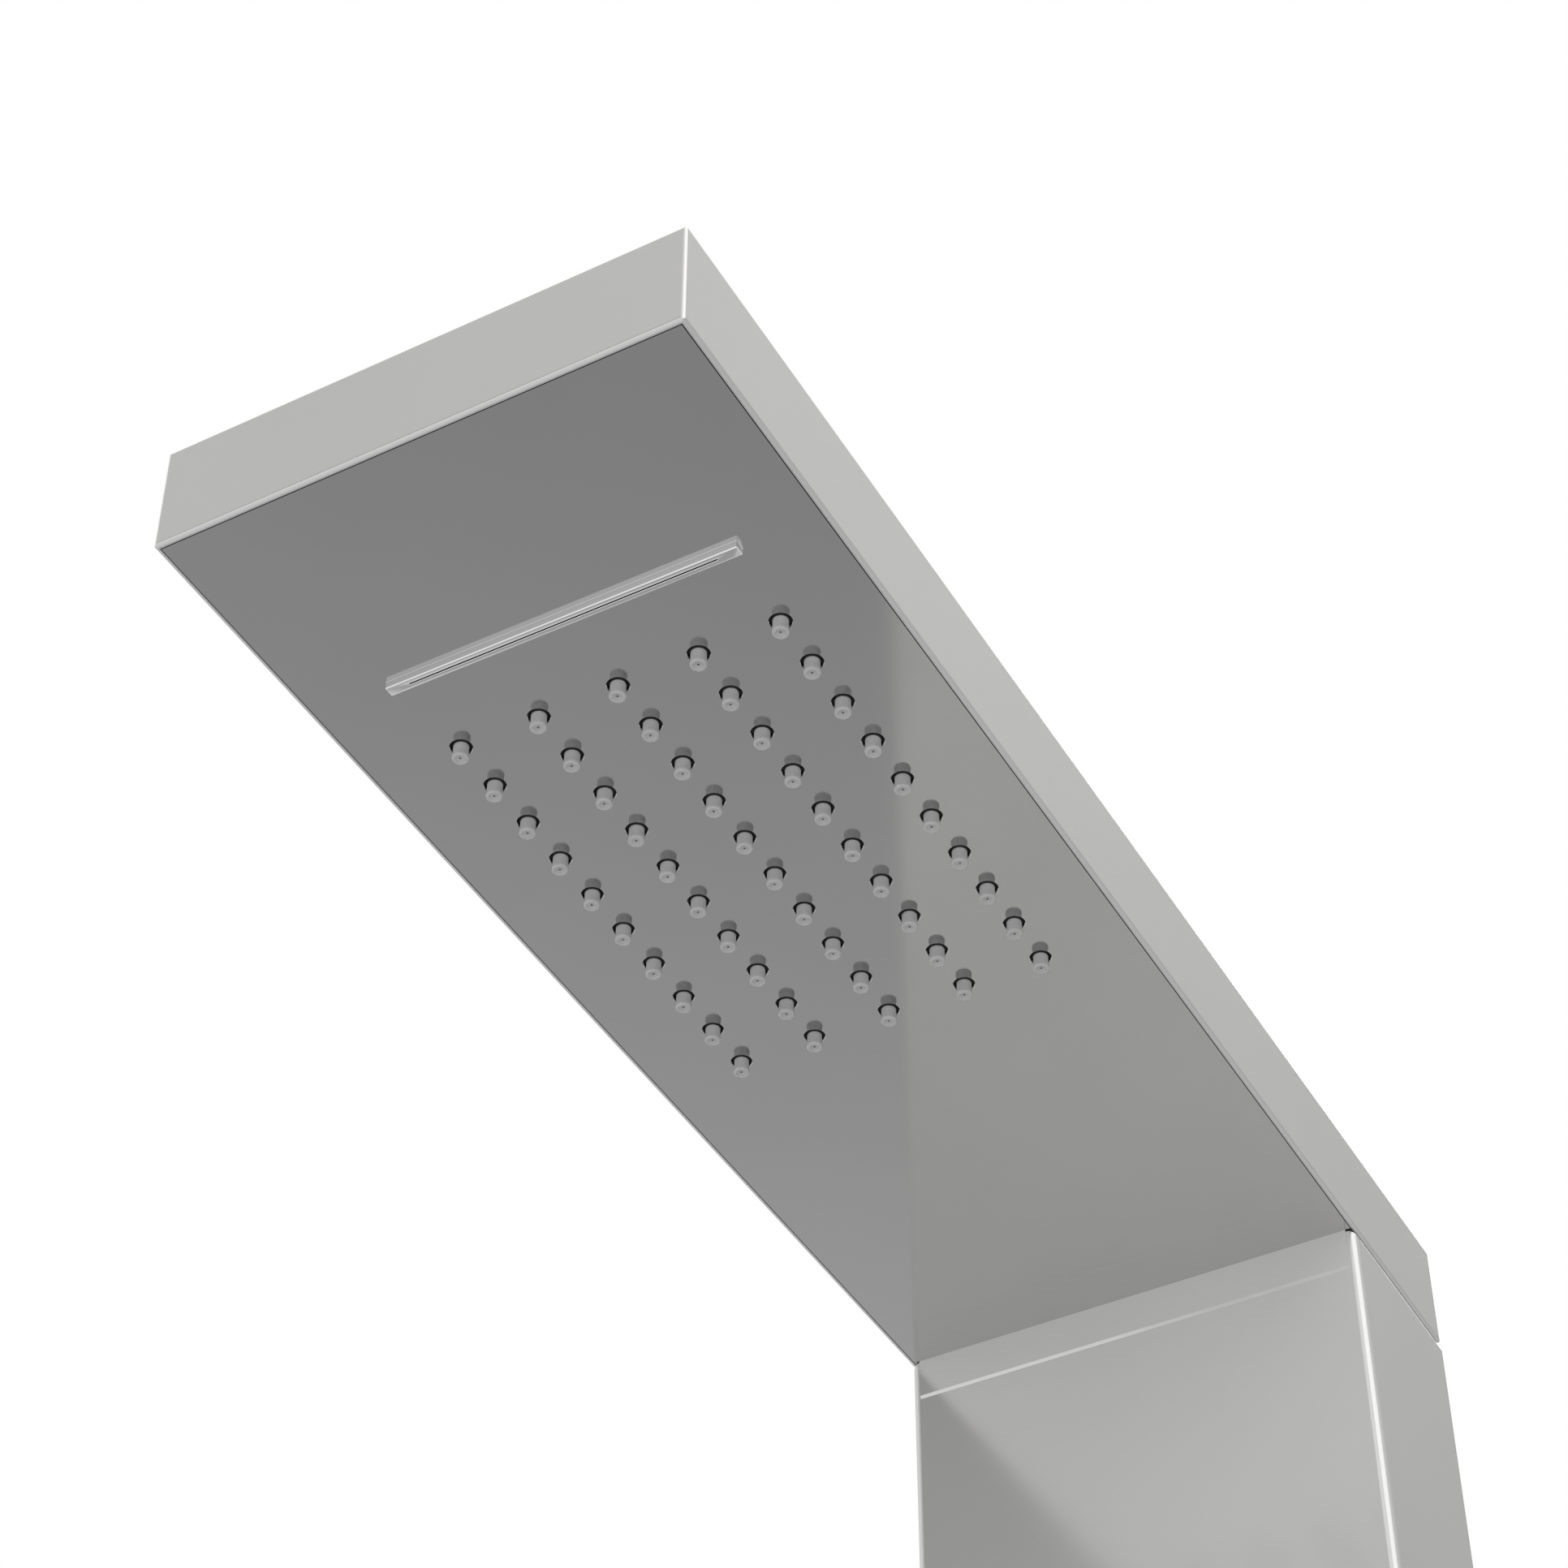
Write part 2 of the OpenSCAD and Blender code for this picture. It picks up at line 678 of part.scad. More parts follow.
// Elbow on a chamber's roof that receives a feed pipe from the column
module feed_elbow(x, y, z0) {
    bore = feed_d - 2 * pipe_wall;
    color(grey_plastic) translate([x, y, 0]) difference() {
        union() {
            bar(feed_d, z0 - chamber_wall, z0);
            bar(socket_d, z0, z_feed);
            translate([0, 0, z_feed]) sphere(d = socket_d);
            translate([0, 0, z_feed]) rotate([-90, 0, 0]) bar(socket_d, 0, elbow_l);
        }
        bar(bore, z0 - chamber_wall - over, z_feed);
        translate([0, 0, z_feed]) {
            sphere(d = bore);
            rotate([-90, 0, 0]) {
                bar(bore, 0, elbow_l);
                bar(feed_d + 2 * fit_gap, elbow_l - socket_l, elbow_l + over);
            }
        }
    }
}

module rain_elbow() { feed_elbow(-feed_x, rain_y, rain_top); }
module waterfall_elbow() { feed_elbow(feed_x, fall_y, fall_top); }

module chamber_nuts() {
    color(steel) {
        for (p = rain_studs) translate([p[0], p[1], 0]) nut(stud_nut_af, stud_d, rain_nut_z, stud_nut_t);
        for (p = fall_studs) translate([p[0], p[1], 0]) nut(stud_nut_af, stud_d, fall_nut_z, stud_nut_t);
    }
}

module nut(af, d, z0, t) {
    difference() {
        hex_bar(af, z0, z0 + t);
        bar(d + 2 * fit_gap, z0 - over, z0 + t + over);
    }
}

// Solid path of a feed pipe: up the column, round the bend and along the head
module feed_path(d, x, y_end) {
    translate([x, -pipe_y, 0]) {
        translate([0, 0, z_feed - bend_r]) {
            rotate([180, 0, 0]) bar(d, 0, z_feed - bend_r - z_diverter - boss_l + socket_l - face_gap);
            rotate([0, 0, -90]) bend(d, bend_r);
        }
        translate([0, -bend_r, z_feed]) rotate([90, 0, 0]) bar(d, 0, -pipe_y - bend_r - y_end);
    }
}

module feed_pipe(x, y_elbow) {
    y_end = y_elbow + elbow_l - socket_l + face_gap;
    color(grey_plastic) difference() {
        feed_path(feed_d, x, y_end);
        feed_path(feed_d - 2 * pipe_wall, x, y_end);
    }
}

module rain_pipe() { feed_pipe(-feed_x, rain_y); }
module waterfall_pipe() { feed_pipe(feed_x, fall_y); }

module head_bolts() {
    color(steel) for (p = neck_bolts) translate([p[0], p[1], 0]) {
        hex_bar(neck_bolt_af, z_neck - sheet - neck_bolt_head_t, z_neck - sheet);
        bar(neck_bolt_d, z_neck - sheet - neck_bolt_head_t / 2, plate_top + neck_nut_t + neck_bolt_tail);
    }
}

module head_nuts() {
    color(steel) for (p = neck_bolts) translate([p[0], p[1], 0])
        nut(neck_bolt_af, neck_bolt_d, plate_top, neck_nut_t);
}

// Thin pad that seals the head on the column
module neck_seal() {
    color(black_rubber) difference() {
        translate([-panel_w / 2 + seal_inset, -col_d + seal_inset, z_neck])
            cube([panel_w - 2 * seal_inset, col_d - 2 * seal_inset, seam]);
        neck_holes(z_neck - over, z_under + over);
    }
}

// Outline of the column seen from above, inset on all sides
module column_outline(inset) {
    r = max(col_edge_r - inset, least_fold_r);
    w = panel_w - 2 * inset;
    y0 = -col_d + inset;
    d = col_d - 2 * inset;
    translate([-w / 2 + r, y0]) square([w - 2 * r, d]);
    translate([-w / 2, y0 + r]) square([w, d - r]);
    for (s = [-1, 1]) translate([s * (w / 2 - r), y0 + r]) circle(r = r);
}

// Folded steel column with lips at the back and a closed top
// Shallow band on the column's front, just under the head
module band() {
    translate([-panel_w / 2 + col_edge_r, 0, 0]) rotate([90, 0, 90])
        linear_extrude(panel_w - 2 * col_edge_r) polygon([
            [-col_d + sheet / 2, z_neck + seam],
            [-col_d - band_out, z_neck + seam],
            [-col_d - band_out, z_neck - band_h + band_slope],
            [-col_d, z_neck - band_h],
            [-col_d + sheet / 2, z_neck - band_h],
        ]);
}

module column_casing() {
    h = z_neck - z_foot;
    color(steel) difference() {
        union() {
            intersection() {
                translate([0, 0, z_foot]) linear_extrude(h) column_outline(0);
                translate([-panel_w / 2, 0, z_foot - over]) rotate([90, 0, 0])
                    linear_extrude(col_d) rounded_rect(panel_w, h + over, neck_r);
            }
            translate([-panel_w / 2 + col_edge_r, -col_d, z_neck - sheet])
                cube([panel_w - 2 * col_edge_r, sheet, sheet + seam]);
            band();
        }
        translate([0, 0, z_foot - over]) linear_extrude(h - sheet + over) column_outline(sheet);
        translate([-panel_w / 2 + lip_w, -sheet - over, z_foot - over])
            cube([panel_w - 2 * lip_w, sheet + 2 * over, h - sheet + over]);
        neck_holes(z_neck - sheet - over, z_neck + over);
        at_front(0, z_thermo) bar(thermo_neck_d + 2 * neck_hole_gap, -sheet - over, over);
        at_front(0, z_diverter) bar(diverter_neck_d + 2 * neck_hole_gap, -sheet - over, over);
        for (z = jet_zs) at_front(0, z) bar(jet_barrel_d + 2 * neck_hole_gap, -sheet - over, over);
        at_front(0, z_hand) bar(thread_d + 2 * neck_hole_gap, -sheet - over, over);
        translate([panel_w / 2, cradle_y, z_cradle]) rotate([0, 90, 0])
            bar(post_screw_d + 2 * neck_hole_gap, -sheet - over, over);
        rivet_places() bar(rivet_d + 2 * fit_gap, -over, sheet + over);
        cap_screw_places() cap_screw_hole();
    }
}

// Places of the rivets, with Z pointing from the wall into the column
module rivet_places() {
    for (z = [0, z_lower], sx = [-1, 1], sz = [-1, 1])
        translate([sx * rivet_x, 0, z + rail_mid_z + sz * rivet_z]) rotate([90, 0, 0]) children();
}

module rail_rivets() {
    color(steel) rivet_places() {
        bar(rivet_d, 0, sheet + rail_t + rivet_head_t / 2);
        bar(rivet_head_d, sheet + rail_t, sheet + rail_t + rivet_head_t);
    }
}

// Places of the cap's screws, with Z pointing into the column
module cap_screw_places() {
    for (y = cap_screw_ys) {
        translate([-panel_w / 2, y, cap_screw_z]) rotate([0, 90, 0]) children();
        translate([panel_w / 2, y, cap_screw_z]) rotate([0, -90, 0]) children();
    }
}

module cap_screw_hole() {
    bar(cap_screw_d + 2 * fit_gap, -over, sheet + over);
    cylinder(d1 = cap_screw_head_d + 2 * fit_gap, d2 = cap_screw_d + 2 * fit_gap, h = sheet);
}

module cap_screws() {
    color(steel) cap_screw_places() {
        cylinder(d1 = cap_screw_head_d, d2 = cap_screw_d, h = sheet);
        bar(cap_screw_d, 0, cap_screw_l);
    }
}

// Folded tray that closes the foot of the column
module bottom_cap() {
    inset = sheet + plate_gap;
    color(steel) difference() {
        translate([0, 0, z_foot]) linear_extrude(cap_fold_h) column_outline(inset);
        translate([0, 0, z_foot + sheet]) linear_extrude(cap_fold_h) column_outline(inset + sheet);
        cap_screw_places() bar(cap_screw_d + 2 * fit_gap, -over, sheet + inset + over);
    }
}

// Hat-shaped rail behind the column's lips, hooked into a wall bracket
module hanging_rail() {
    foot_x = panel_w / 2 - lip_w - rail_foot_w / 2;
    end_x = panel_w / 2 - sheet - face_gap;
    foot_w = end_x - foot_x + rail_t;
    color(steel) difference() {
        translate([0, 0, shelf_z]) linear_extrude(rail_h) {
            translate([-foot_x, blade_y - rail_t]) square([2 * foot_x, rail_t]);
            for (s = [-1, 1]) {
                translate([s * (foot_x - rail_t / 2) - rail_t / 2, blade_y - rail_t])
                    square([rail_t, rail_t - blade_y - sheet]);
                translate([s * (foot_x - rail_t + end_x) / 2 - foot_w / 2, -sheet - rail_t])
                    square([foot_w, rail_t]);
            }
        }
        for (s = [-1, 1]) translate([s * hanger_hole_pitch / 2, 0, 0]) rotate([90, 0, 0])
            bar(driver_hole_d, 0, col_d);
        for (sx = [-1, 1], sz = [-1, 1]) translate([sx * rivet_x, 0, rail_mid_z + sz * rivet_z])
            rotate([90, 0, 0]) bar(rivet_d + 2 * fit_gap, 0, col_d);
    }
}

module upper_rail() { hanging_rail(); }
module lower_rail() { translate([0, 0, z_lower]) hanging_rail(); }

// Bracket that is screwed to the wall, with a shelf and a lip for the rail
module wall_bracket() {
    lip_y = blade_y - rail_t - face_gap - bracket_t;
    color(steel) difference() {
        translate([-bracket_w / 2, 0, -bracket_h / 2]) {
            translate([0, -bracket_t, 0]) cube([bracket_w, bracket_t, bracket_h]);
            translate([0, lip_y, 0]) cube([bracket_w, -lip_y, bracket_t]);
            translate([0, lip_y, 0]) cube([bracket_w, bracket_t, bracket_lip_h]);
        }
        for (s = [-1, 1]) translate([s * hanger_hole_pitch / 2, 0, 0]) rotate([90, 0, 0])
            bar(hanger_hole_d, -over, bracket_t + over);
    }
}

module upper_wall_bracket() { wall_bracket(); }
module lower_wall_bracket() { translate([0, 0, z_lower]) wall_bracket(); }

// Brass body of the temperature valve with its inlet arms and its outlet
module thermo_body() {
    color(brass) at_front(0, z_thermo) difference() {
        union() {
            bar(thermo_barrel_d, -thermo_barrel_l, -sheet);
            bar(thermo_neck_d, -sheet - over, neck_out);
            translate([-inlet_x, 0, -pipe_t]) rotate([0, 90, 0]) bar(inlet_arm_d, 0, 2 * inlet_x);
            for (s = [-1, 1]) translate([s * inlet_x, 0, -pipe_t]) {
                sphere(d = inlet_arm_d);
                rotate([90, 0, 0]) bar(inlet_arm_d, 0, inlet_arm_l);
            }
            translate([0, 0, -pipe_t]) rotate([-90, 0, 0]) bar(main_socket_d, 0, thermo_outlet_l);
        }
        bar(thermo_pocket_d, -thermo_pocket_l, neck_out + over);
        // Hot water enters the pocket on the left near its floor, cold water on the right
        translate([-inlet_x, 0, -pipe_t - side_way_shift]) rotate([0, 90, 0]) bar(side_way_d, 0, inlet_x);
        translate([0, 0, -pipe_t + side_way_shift]) rotate([0, 90, 0]) bar(side_way_d, 0, inlet_x);
        for (s = [-1, 1]) translate([s * inlet_x, 0, -pipe_t]) {
            sphere(d = thread_bore_d);
            rotate([90, 0, 0]) {
                bar(thread_bore_d, 0, inlet_arm_l);
                bar(thread_d + 2 * fit_gap, inlet_arm_l - nipple_seat_l - face_gap, inlet_arm_l + over);
            }
        }
        // Mixed water leaves behind the sleeve and rises in a way beside the pocket
        translate([-thermo_way_d / 2, 0, -thermo_pocket_l]) cube([thermo_way_d, thermo_way_r, thermo_plenum]);
        translate([0, thermo_way_r, 0]) bar(thermo_way_d, -thermo_pocket_l, -pipe_t);
        translate([0, 0, -pipe_t]) rotate([-90, 0, 0]) {
            bar(main_d - 2 * pipe_wall, thermo_way_r - thermo_way_d / 2, thermo_outlet_l);
            bar(main_d + 2 * fit_gap, thermo_outlet_l - socket_l, thermo_outlet_l + over);
        }
    }
}

// Threaded nipples that take the hot and cold supply hoses
module inlet_nipples() {
    tip = inlet_arm_l + nipple_hex_l + thread_l;
    color(brass) inlet_places() difference() {
        union() {
            bar(thread_d, inlet_arm_l - nipple_seat_l, tip);
            hex_bar(nipple_af, inlet_arm_l, inlet_arm_l + nipple_hex_l);
        }
        bar(thread_bore_d, 0, tip + over);
        bar(strainer_d + 2 * fit_gap, tip - strainer_t, tip + over);
    }
}

// Places of the inlets, with Z pointing down out of them
module inlet_places() {
    for (s = [-1, 1]) translate([s * inlet_x, -pipe_y, z_thermo]) rotate([180, 0, 0]) children();
}

module inlet_strainers() {
    tip = inlet_arm_l + nipple_hex_l + thread_l;
    color(steel) inlet_places() difference() {
        bar(strainer_d, tip - strainer_t, tip);
        bar(strainer_hole_d, tip - 2 * strainer_t, tip + over);
        for (a = [0 : strainer_ring_holes - 1]) rotate([0, 0, a * 360 / strainer_ring_holes])
            translate([strainer_ring_r, 0, 0]) bar(strainer_hole_d, tip - 2 * strainer_t, tip + over);
    }
}

// Rings outside the front that clamp the two valve bodies to the sheet
module clamp_rings() {
    color(brass) {
        at_front(0, z_thermo) clamp_ring(thermo_neck_d);
        at_front(0, z_diverter) clamp_ring(diverter_neck_d);
    }
}

module clamp_ring(d) {
    difference() {
        bar(d + 2 * ring_wall, 0, ring_l);
        bar(d + 2 * fit_gap, -over, ring_l + over);
    }
}

// Cap nut that holds a cartridge in its pocket
module gland_nut(d) {
    difference() {
        bar(d + 2 * gland_wall, ring_l + face_gap, neck_out + gland_t);
        bar(d + 2 * fit_gap, -over, neck_out);
        bar(stem_d + 2 * stem_gap, neck_out - over, neck_out + gland_t + over);
    }
}

module gland_nuts() {
    color(brass) {
        at_front(0, z_thermo) gland_nut(thermo_neck_d);
        at_front(0, z_diverter) gland_nut(diverter_neck_d);
    }
}

// Rubber rings that seal both sleeves in their pockets
module valve_seals() {
    color(black_rubber) {
        for (t = thermo_seals) at_front(0, z_thermo) seal_ring(thermo_pocket_d, t);
        for (t = diverter_seals) at_front(0, z_diverter) seal_ring(diverter_pocket_d, t);
    }
}

module seal_ring(d, t) {
    translate([0, 0, t]) rotate_extrude() translate([d / 2 - seal_d / 2 - seal_gap, 0]) circle(d = seal_d);
}

// Groove that a seal lies in
module seal_groove(pocket, t) {
    w = seal_d + 2 * seal_gap;
    difference() {
        bar(pocket + over, t - w / 2, t + w / 2);
        bar(pocket - 2 * seal_d - 4 * seal_gap, t - w, t + w);
    }
}

// A round bar along Z whose front edge is rounded
module soft_bar(d, t0, t1, r) {
    translate([0, 0, t0]) rotate_extrude() {
        square([d / 2, t1 - t0 - r]);
        square([d / 2 - r, t1 - t0]);
        translate([d / 2 - r, t1 - t0 - r]) circle(r = r);
    }
}

// Round dish that hides a valve's nuts
module valve_cover() {
    difference() {
        soft_bar(cover_d, 0, cover_out, cover_edge_r);
        bar(cover_d - 2 * cover_wall, -over, cover_out - cover_wall);
        bar(cover_hole_d, 0, cover_out + over);
    }
}

module valve_covers() {
    color(chrome) for (z = [z_thermo, z_diverter]) at_front(0, z) valve_cover();
}

// Sleeve of the thermostatic cartridge, with a window each for hot and cold water
module thermo_cartridge() {
    color(grey_plastic) at_front(0, z_thermo) difference() {
        bar(thermo_sleeve_d, thermo_sleeve_back, neck_out);
        bar(thermo_sleeve_in_d, thermo_sleeve_back + sleeve_floor, neck_out + over);
        for (a = [45 : 90 : 315]) rotate([0, 0, a]) translate([spool_port_r, 0, 0])
            bar(disc_port_d, thermo_sleeve_back - over, 0);
        translate([-thermo_sleeve_d, -window_w / 2, -pipe_t - spool_l / 2 - window_open])
            cube([thermo_sleeve_d, window_w, window_l]);
        translate([0, -window_w / 2, -pipe_t + spool_l / 2 + window_open - window_l])
            cube([thermo_sleeve_d, window_w, window_l]);
        for (t = thermo_seals) seal_groove(thermo_pocket_d, t);
    }
}

// Sliding spool that closes one window while it opens the other
module thermo_spool() {
    t0 = -pipe_t - spool_l / 2;
    color(brass) at_front(0, z_thermo) difference() {
        bar(thermo_sleeve_in_d - 4 * run_gap, t0, t0 + spool_l);
        bar(wax_d + 2 * fit_gap, t0 - over, t0 + spool_l + over);
        for (a = [45 : 90 : 315]) rotate([0, 0, a]) translate([spool_port_r, 0, 0])
            bar(spool_port_d, t0 - over, t0 + spool_l + over);
    }
}

// Wax element that swells with warm water and pushes the spool
module wax_element() {
    front = spindle_front - thermo_spindle_l - wax_tip;
    t0 = -pipe_t + spool_l / 2;
    color(brass) at_front(0, z_thermo) {
        bar(wax_d, t0 - wax_bulb_l, t0 + pipe_wall);
        bar(wax_d + 2 * pipe_wall, t0, t0 + pipe_wall);
        bar(wax_stem_d, t0, front - wax_pin_l);
        bar(wax_pin_d, t0, front);
    }
}

// Coil spring that brings the spool back
module return_spring() {
    r = thermo_sleeve_in_d / 2 - spring_wire;
    t0 = thermo_sleeve_back + sleeve_floor + spring_wire / 2;
    t1 = -pipe_t - spool_l / 2 - spring_gap - spring_wire / 2;
    color(steel) at_front(0, z_thermo) spring_tube(r, spring_wire, t0, t1, spring_turns);
}

// One unbroken tube wound round Z from t0 to t1
module spring_tube(r, wire, t0, t1, turns) {
    sides = 8;
    rings = 16 * turns;
    points = [for (i = [0 : rings], k = [0 : sides - 1])
        let (a = i * 360 * turns / rings, b = k * 360 / sides, q = r + wire / 2 * cos(b))
        [q * cos(a), q * sin(a), t0 + (t1 - t0) * i / rings + wire / 2 * sin(b)]];
    walls = [for (i = [0 : rings - 1], k = [0 : sides - 1])
        let (m = (k + 1) % sides, a = i * sides, b = (i + 1) * sides)
        each [[a + k, b + k, b + m], [a + k, b + m, a + m]]];
    last = rings * sides;
    ends = [[for (k = [0 : sides - 1]) k], [for (k = [0 : sides - 1]) last + sides - 1 - k]];
    polyhedron(points, concat(walls, ends));
}

// Spindle that turns in a cartridge and carries a knob
module spindle(d, t0) {
    bar(d, t0, spindle_front);
    bar(stem_d, t0, stem_end);
}

module thermo_spindle() {
    color(brass) at_front(0, z_thermo)
        spindle(thermo_sleeve_in_d - 2 * run_gap, spindle_front - thermo_spindle_l);
}

// Fluted knob that sets the temperature
module temperature_knob() {
    color(chrome) at_front(0, z_thermo) difference() {
        soft_bar(knob_d, knob_start, knob_end, knob_edge_r);
        bar(stem_d + 2 * fit_gap, knob_start - over, stem_end + face_gap);
        for (a = [0.5 : flute_count - 0.5]) rotate([0, 0, a * 360 / flute_count])
            translate([knob_d / 2 + flute_d / 4, 0, 0])
                bar(flute_d, knob_start + flute_stop, knob_end - flute_stop);
        at_button() bar(button_d + 2 * run_gap, button_seat, knob_d);
    }
}

// Puts its children on the safety button's line, with Z pointing out of the knob
module at_button() {
    translate([0, 0, knob_start + button_z]) rotate([-90, 0, 0]) children();
}

// Button that is pressed to go past the safe temperature
module safety_button() {
    color(red_plastic) at_front(0, z_thermo) at_button()
        soft_bar(button_d, knob_d / 2 + button_travel - button_l, knob_d / 2 + button_travel, button_edge_r);
}

// Coil spring that brings the safety button back out
module button_spring() {
    t0 = button_seat + button_wire / 2;
    t1 = knob_d / 2 + button_travel - button_l - button_wire / 2;
    color(steel) at_front(0, z_thermo) at_button()
        spring_tube(button_spring_d / 2, button_wire, t0, t1, spring_turns);
}

// Brass body of the diverter with one inlet and four outlets
module diverter_body() {
    bore = feed_d - 2 * pipe_wall;
    color(brass) at_front(0, z_diverter) difference() {
        union() {
            bar(diverter_barrel_d, -diverter_barrel_l, -sheet);
            bar(diverter_neck_d, -sheet - over, neck_out);
            translate([-feed_x, 0, -pipe_t]) rotate([0, 90, 0]) bar(socket_d, 0, 2 * feed_x);
            for (s = [-1, 1]) translate([s * feed_x, 0, -pipe_t]) {
                sphere(d = socket_d);
                rotate([-90, 0, 0]) bar(socket_d, 0, boss_l);
            }
            for (a = [-90, 90]) translate([0, 0, -pipe_t]) rotate([a, 0, 0]) bar(main_socket_d, 0, boss_l);
            translate([0, hand_way_y, -pipe_t]) rotate([0, 90, 0]) bar(socket_d, 0, side_boss_l);
        }
        bar(diverter_pocket_d, -diverter_pocket_l, neck_out + over);
        disc_ports(port_angles, -pipe_t, 0);
        // Ways to the rain head on the left and to the waterfall on the right
        for (s = [-1, 1]) {
            translate([0, 0, -pipe_t]) rotate([0, s * 90, 0]) bar(outlet_bore_d, disc_port_r, feed_x);
            translate([s * feed_x, 0, -pipe_t]) {
                sphere(d = outlet_bore_d);
                rotate([-90, 0, 0]) {
                    bar(bore, 0, boss_l);
                    bar(feed_d + 2 * fit_gap, boss_l - socket_l, boss_l + over);
                }
            }
        }
        // Way up to the body jets and supply from below
        translate([0, 0, -pipe_t]) rotate([-90, 0, 0]) {
            bar(outlet_bore_d, disc_port_r - disc_port_d / 2, boss_l);
            bar(main_d + 2 * fit_gap, boss_l - socket_l, boss_l + over);
        }
        translate([0, 0, -pipe_t]) rotate([90, 0, 0]) {
            bar(outlet_bore_d, supply_end, boss_l);
            bar(main_d + 2 * fit_gap, boss_l - socket_l, boss_l + over);
        }
        translate([0, supply_way_y, 0]) bar(supply_way_d, -pipe_t, supply_t + supply_window_d);
        translate([0, supply_way_y, supply_t]) rotate([-90, 0, 0])
            bar(supply_window_d, 0, supply_window_d + over);
        // Way to the hand shower
        translate([0, hand_way_y, -pipe_t]) rotate([0, 90, 0]) {
            bar(side_way_d, 0, side_boss_l);
            bar(feed_d + 2 * fit_gap, side_boss_l - socket_l, side_boss_l + over);
        }
    }
}

// Sleeve of the diverter cartridge, with a window for the supply
module diverter_cartridge() {
    color(grey_plastic) at_front(0, z_diverter) difference() {
        bar(diverter_sleeve_d, -diverter_pocket_l, neck_out);
        bar(diverter_sleeve_in_d, -diverter_pocket_l + sleeve_floor, neck_out + over);
        disc_ports(port_angles, -diverter_pocket_l - over, 0);
        translate([0, 0, supply_t]) rotate([90, 0, 0]) bar(supply_window_d, 0, diverter_pocket_d);
        for (t = diverter_seals) seal_groove(diverter_pocket_d, t);
    }
}

module disc_ports(angles, t0, t1) {
    for (a = angles) rotate([0, 0, a]) translate([0, disc_port_r, 0]) bar(disc_port_d, t0, t1);
}

// Ceramic disc with a port for each outlet
module fixed_disc() {
    color(ceramic) at_front(0, z_diverter) difference() {
        bar(diverter_sleeve_in_d - 2 * fit_gap, disc_back, disc_back + disc_t);
        disc_ports(port_angles, disc_back - over, disc_back + disc_t + over);
    }
}

// Ceramic disc that turns with the knob and opens one port at a time
module turning_disc() {
    t0 = disc_back + disc_t + disc_gap;
    color(ceramic) at_front(0, z_diverter) difference() {
        bar(diverter_sleeve_in_d - 4 * run_gap, t0, t0 + disc_t);
        disc_ports([rest_angle], t0 - over, t0 + disc_t + over);
    }
}

module diverter_spindle() {
    t0 = disc_back + 2 * disc_t + disc_gap;
    color(brass) at_front(0, z_diverter) {
        bar(disc_neck_d, t0, spindle_front);
        spindle(diverter_sleeve_in_d - 2 * run_gap, t0 + disc_neck_l);
    }
}

// Smooth knob with a finger bar that chooses the outlet
module diverter_knob() {
    mid = knob_start + knob_l / 2;
    color(chrome) at_front(0, z_diverter) difference() {
        union() {
            soft_bar(knob_d, knob_start, knob_end, knob_edge_r);
            translate([0, 0, mid]) rotate([-90, 0, 0]) soft_bar(bar_d, 0, knob_d / 2 + bar_l, bar_d / 4);
        }
        bar(stem_d + 2 * fit_gap, knob_start - over, stem_end + face_gap);
    }
}

// Straight pipe from the temperature valve up to the diverter
module mixed_pipe() {
    z0 = z_thermo + thermo_outlet_l - socket_l + face_gap;
    z1 = z_diverter - boss_l + socket_l - face_gap;
    color(grey_plastic) translate([0, -pipe_y, 0]) difference() {
        bar(main_d, z0, z1);
        bar(main_d - 2 * pipe_wall, z0 - over, z1 + over);
    }
}

// Riser with a tee behind each body jet
module jet_riser() {
    z0 = z_diverter + boss_l - socket_l + face_gap;
    z1 = jet_zs[0] + main_socket_d / 2;
    tee_l = pipe_t - jet_back - face_gap;
    bore = main_d - 2 * pipe_wall;
    color(grey_plastic) translate([0, -pipe_y, 0]) difference() {
        union() {
            bar(main_d, z0, z1);
            for (z = jet_zs) translate([0, 0, z]) rotate([90, 0, 0]) bar(main_socket_d, 0, tee_l);
            for (z = jet_zs) bar(main_socket_d, z - main_socket_d / 2, z + main_socket_d / 2);
        }
        bar(bore, z0 - over, z1 - pipe_wall);
        for (z = jet_zs) translate([0, 0, z]) rotate([90, 0, 0]) {
            bar(bore, 0, tee_l);
            bar(main_d + 2 * fit_gap, pipe_t - jet_back - jet_tail_l - face_gap, tee_l + over);
        }
    }
}

// Path of the hand shower's pipe: out of the diverter, down past the valve and back in
module hand_path(d) {
    z0 = z_diverter + hand_way_y;
    x0 = side_boss_l - socket_l + face_gap;
    x1 = hand_adapter_d / 2 + face_gap;
    translate([0, -pipe_y, 0]) {
        translate([0, 0, z0]) rotate([0, 90, 0]) bar(d, x0, hand_pipe_x - bend_r);
        translate([hand_pipe_x - bend_r, 0, z0]) rotate([0, 90, 0]) bend(d, bend_r);
        translate([hand_pipe_x, 0, 0]) bar(d, z_hand + bend_r, z0 - bend_r);
        translate([hand_pipe_x - bend_r, 0, z_hand]) mirror([0, 0, 1]) rotate([0, 90, 0]) bend(d, bend_r);
        translate([0, 0, z_hand]) rotate([0, 90, 0]) bar(d, x1, hand_pipe_x - bend_r);
    }
}

module hand_pipe() {
    color(grey_plastic) difference() {
        hand_path(feed_d);
        hand_path(feed_d - 2 * pipe_wall);
    }
}

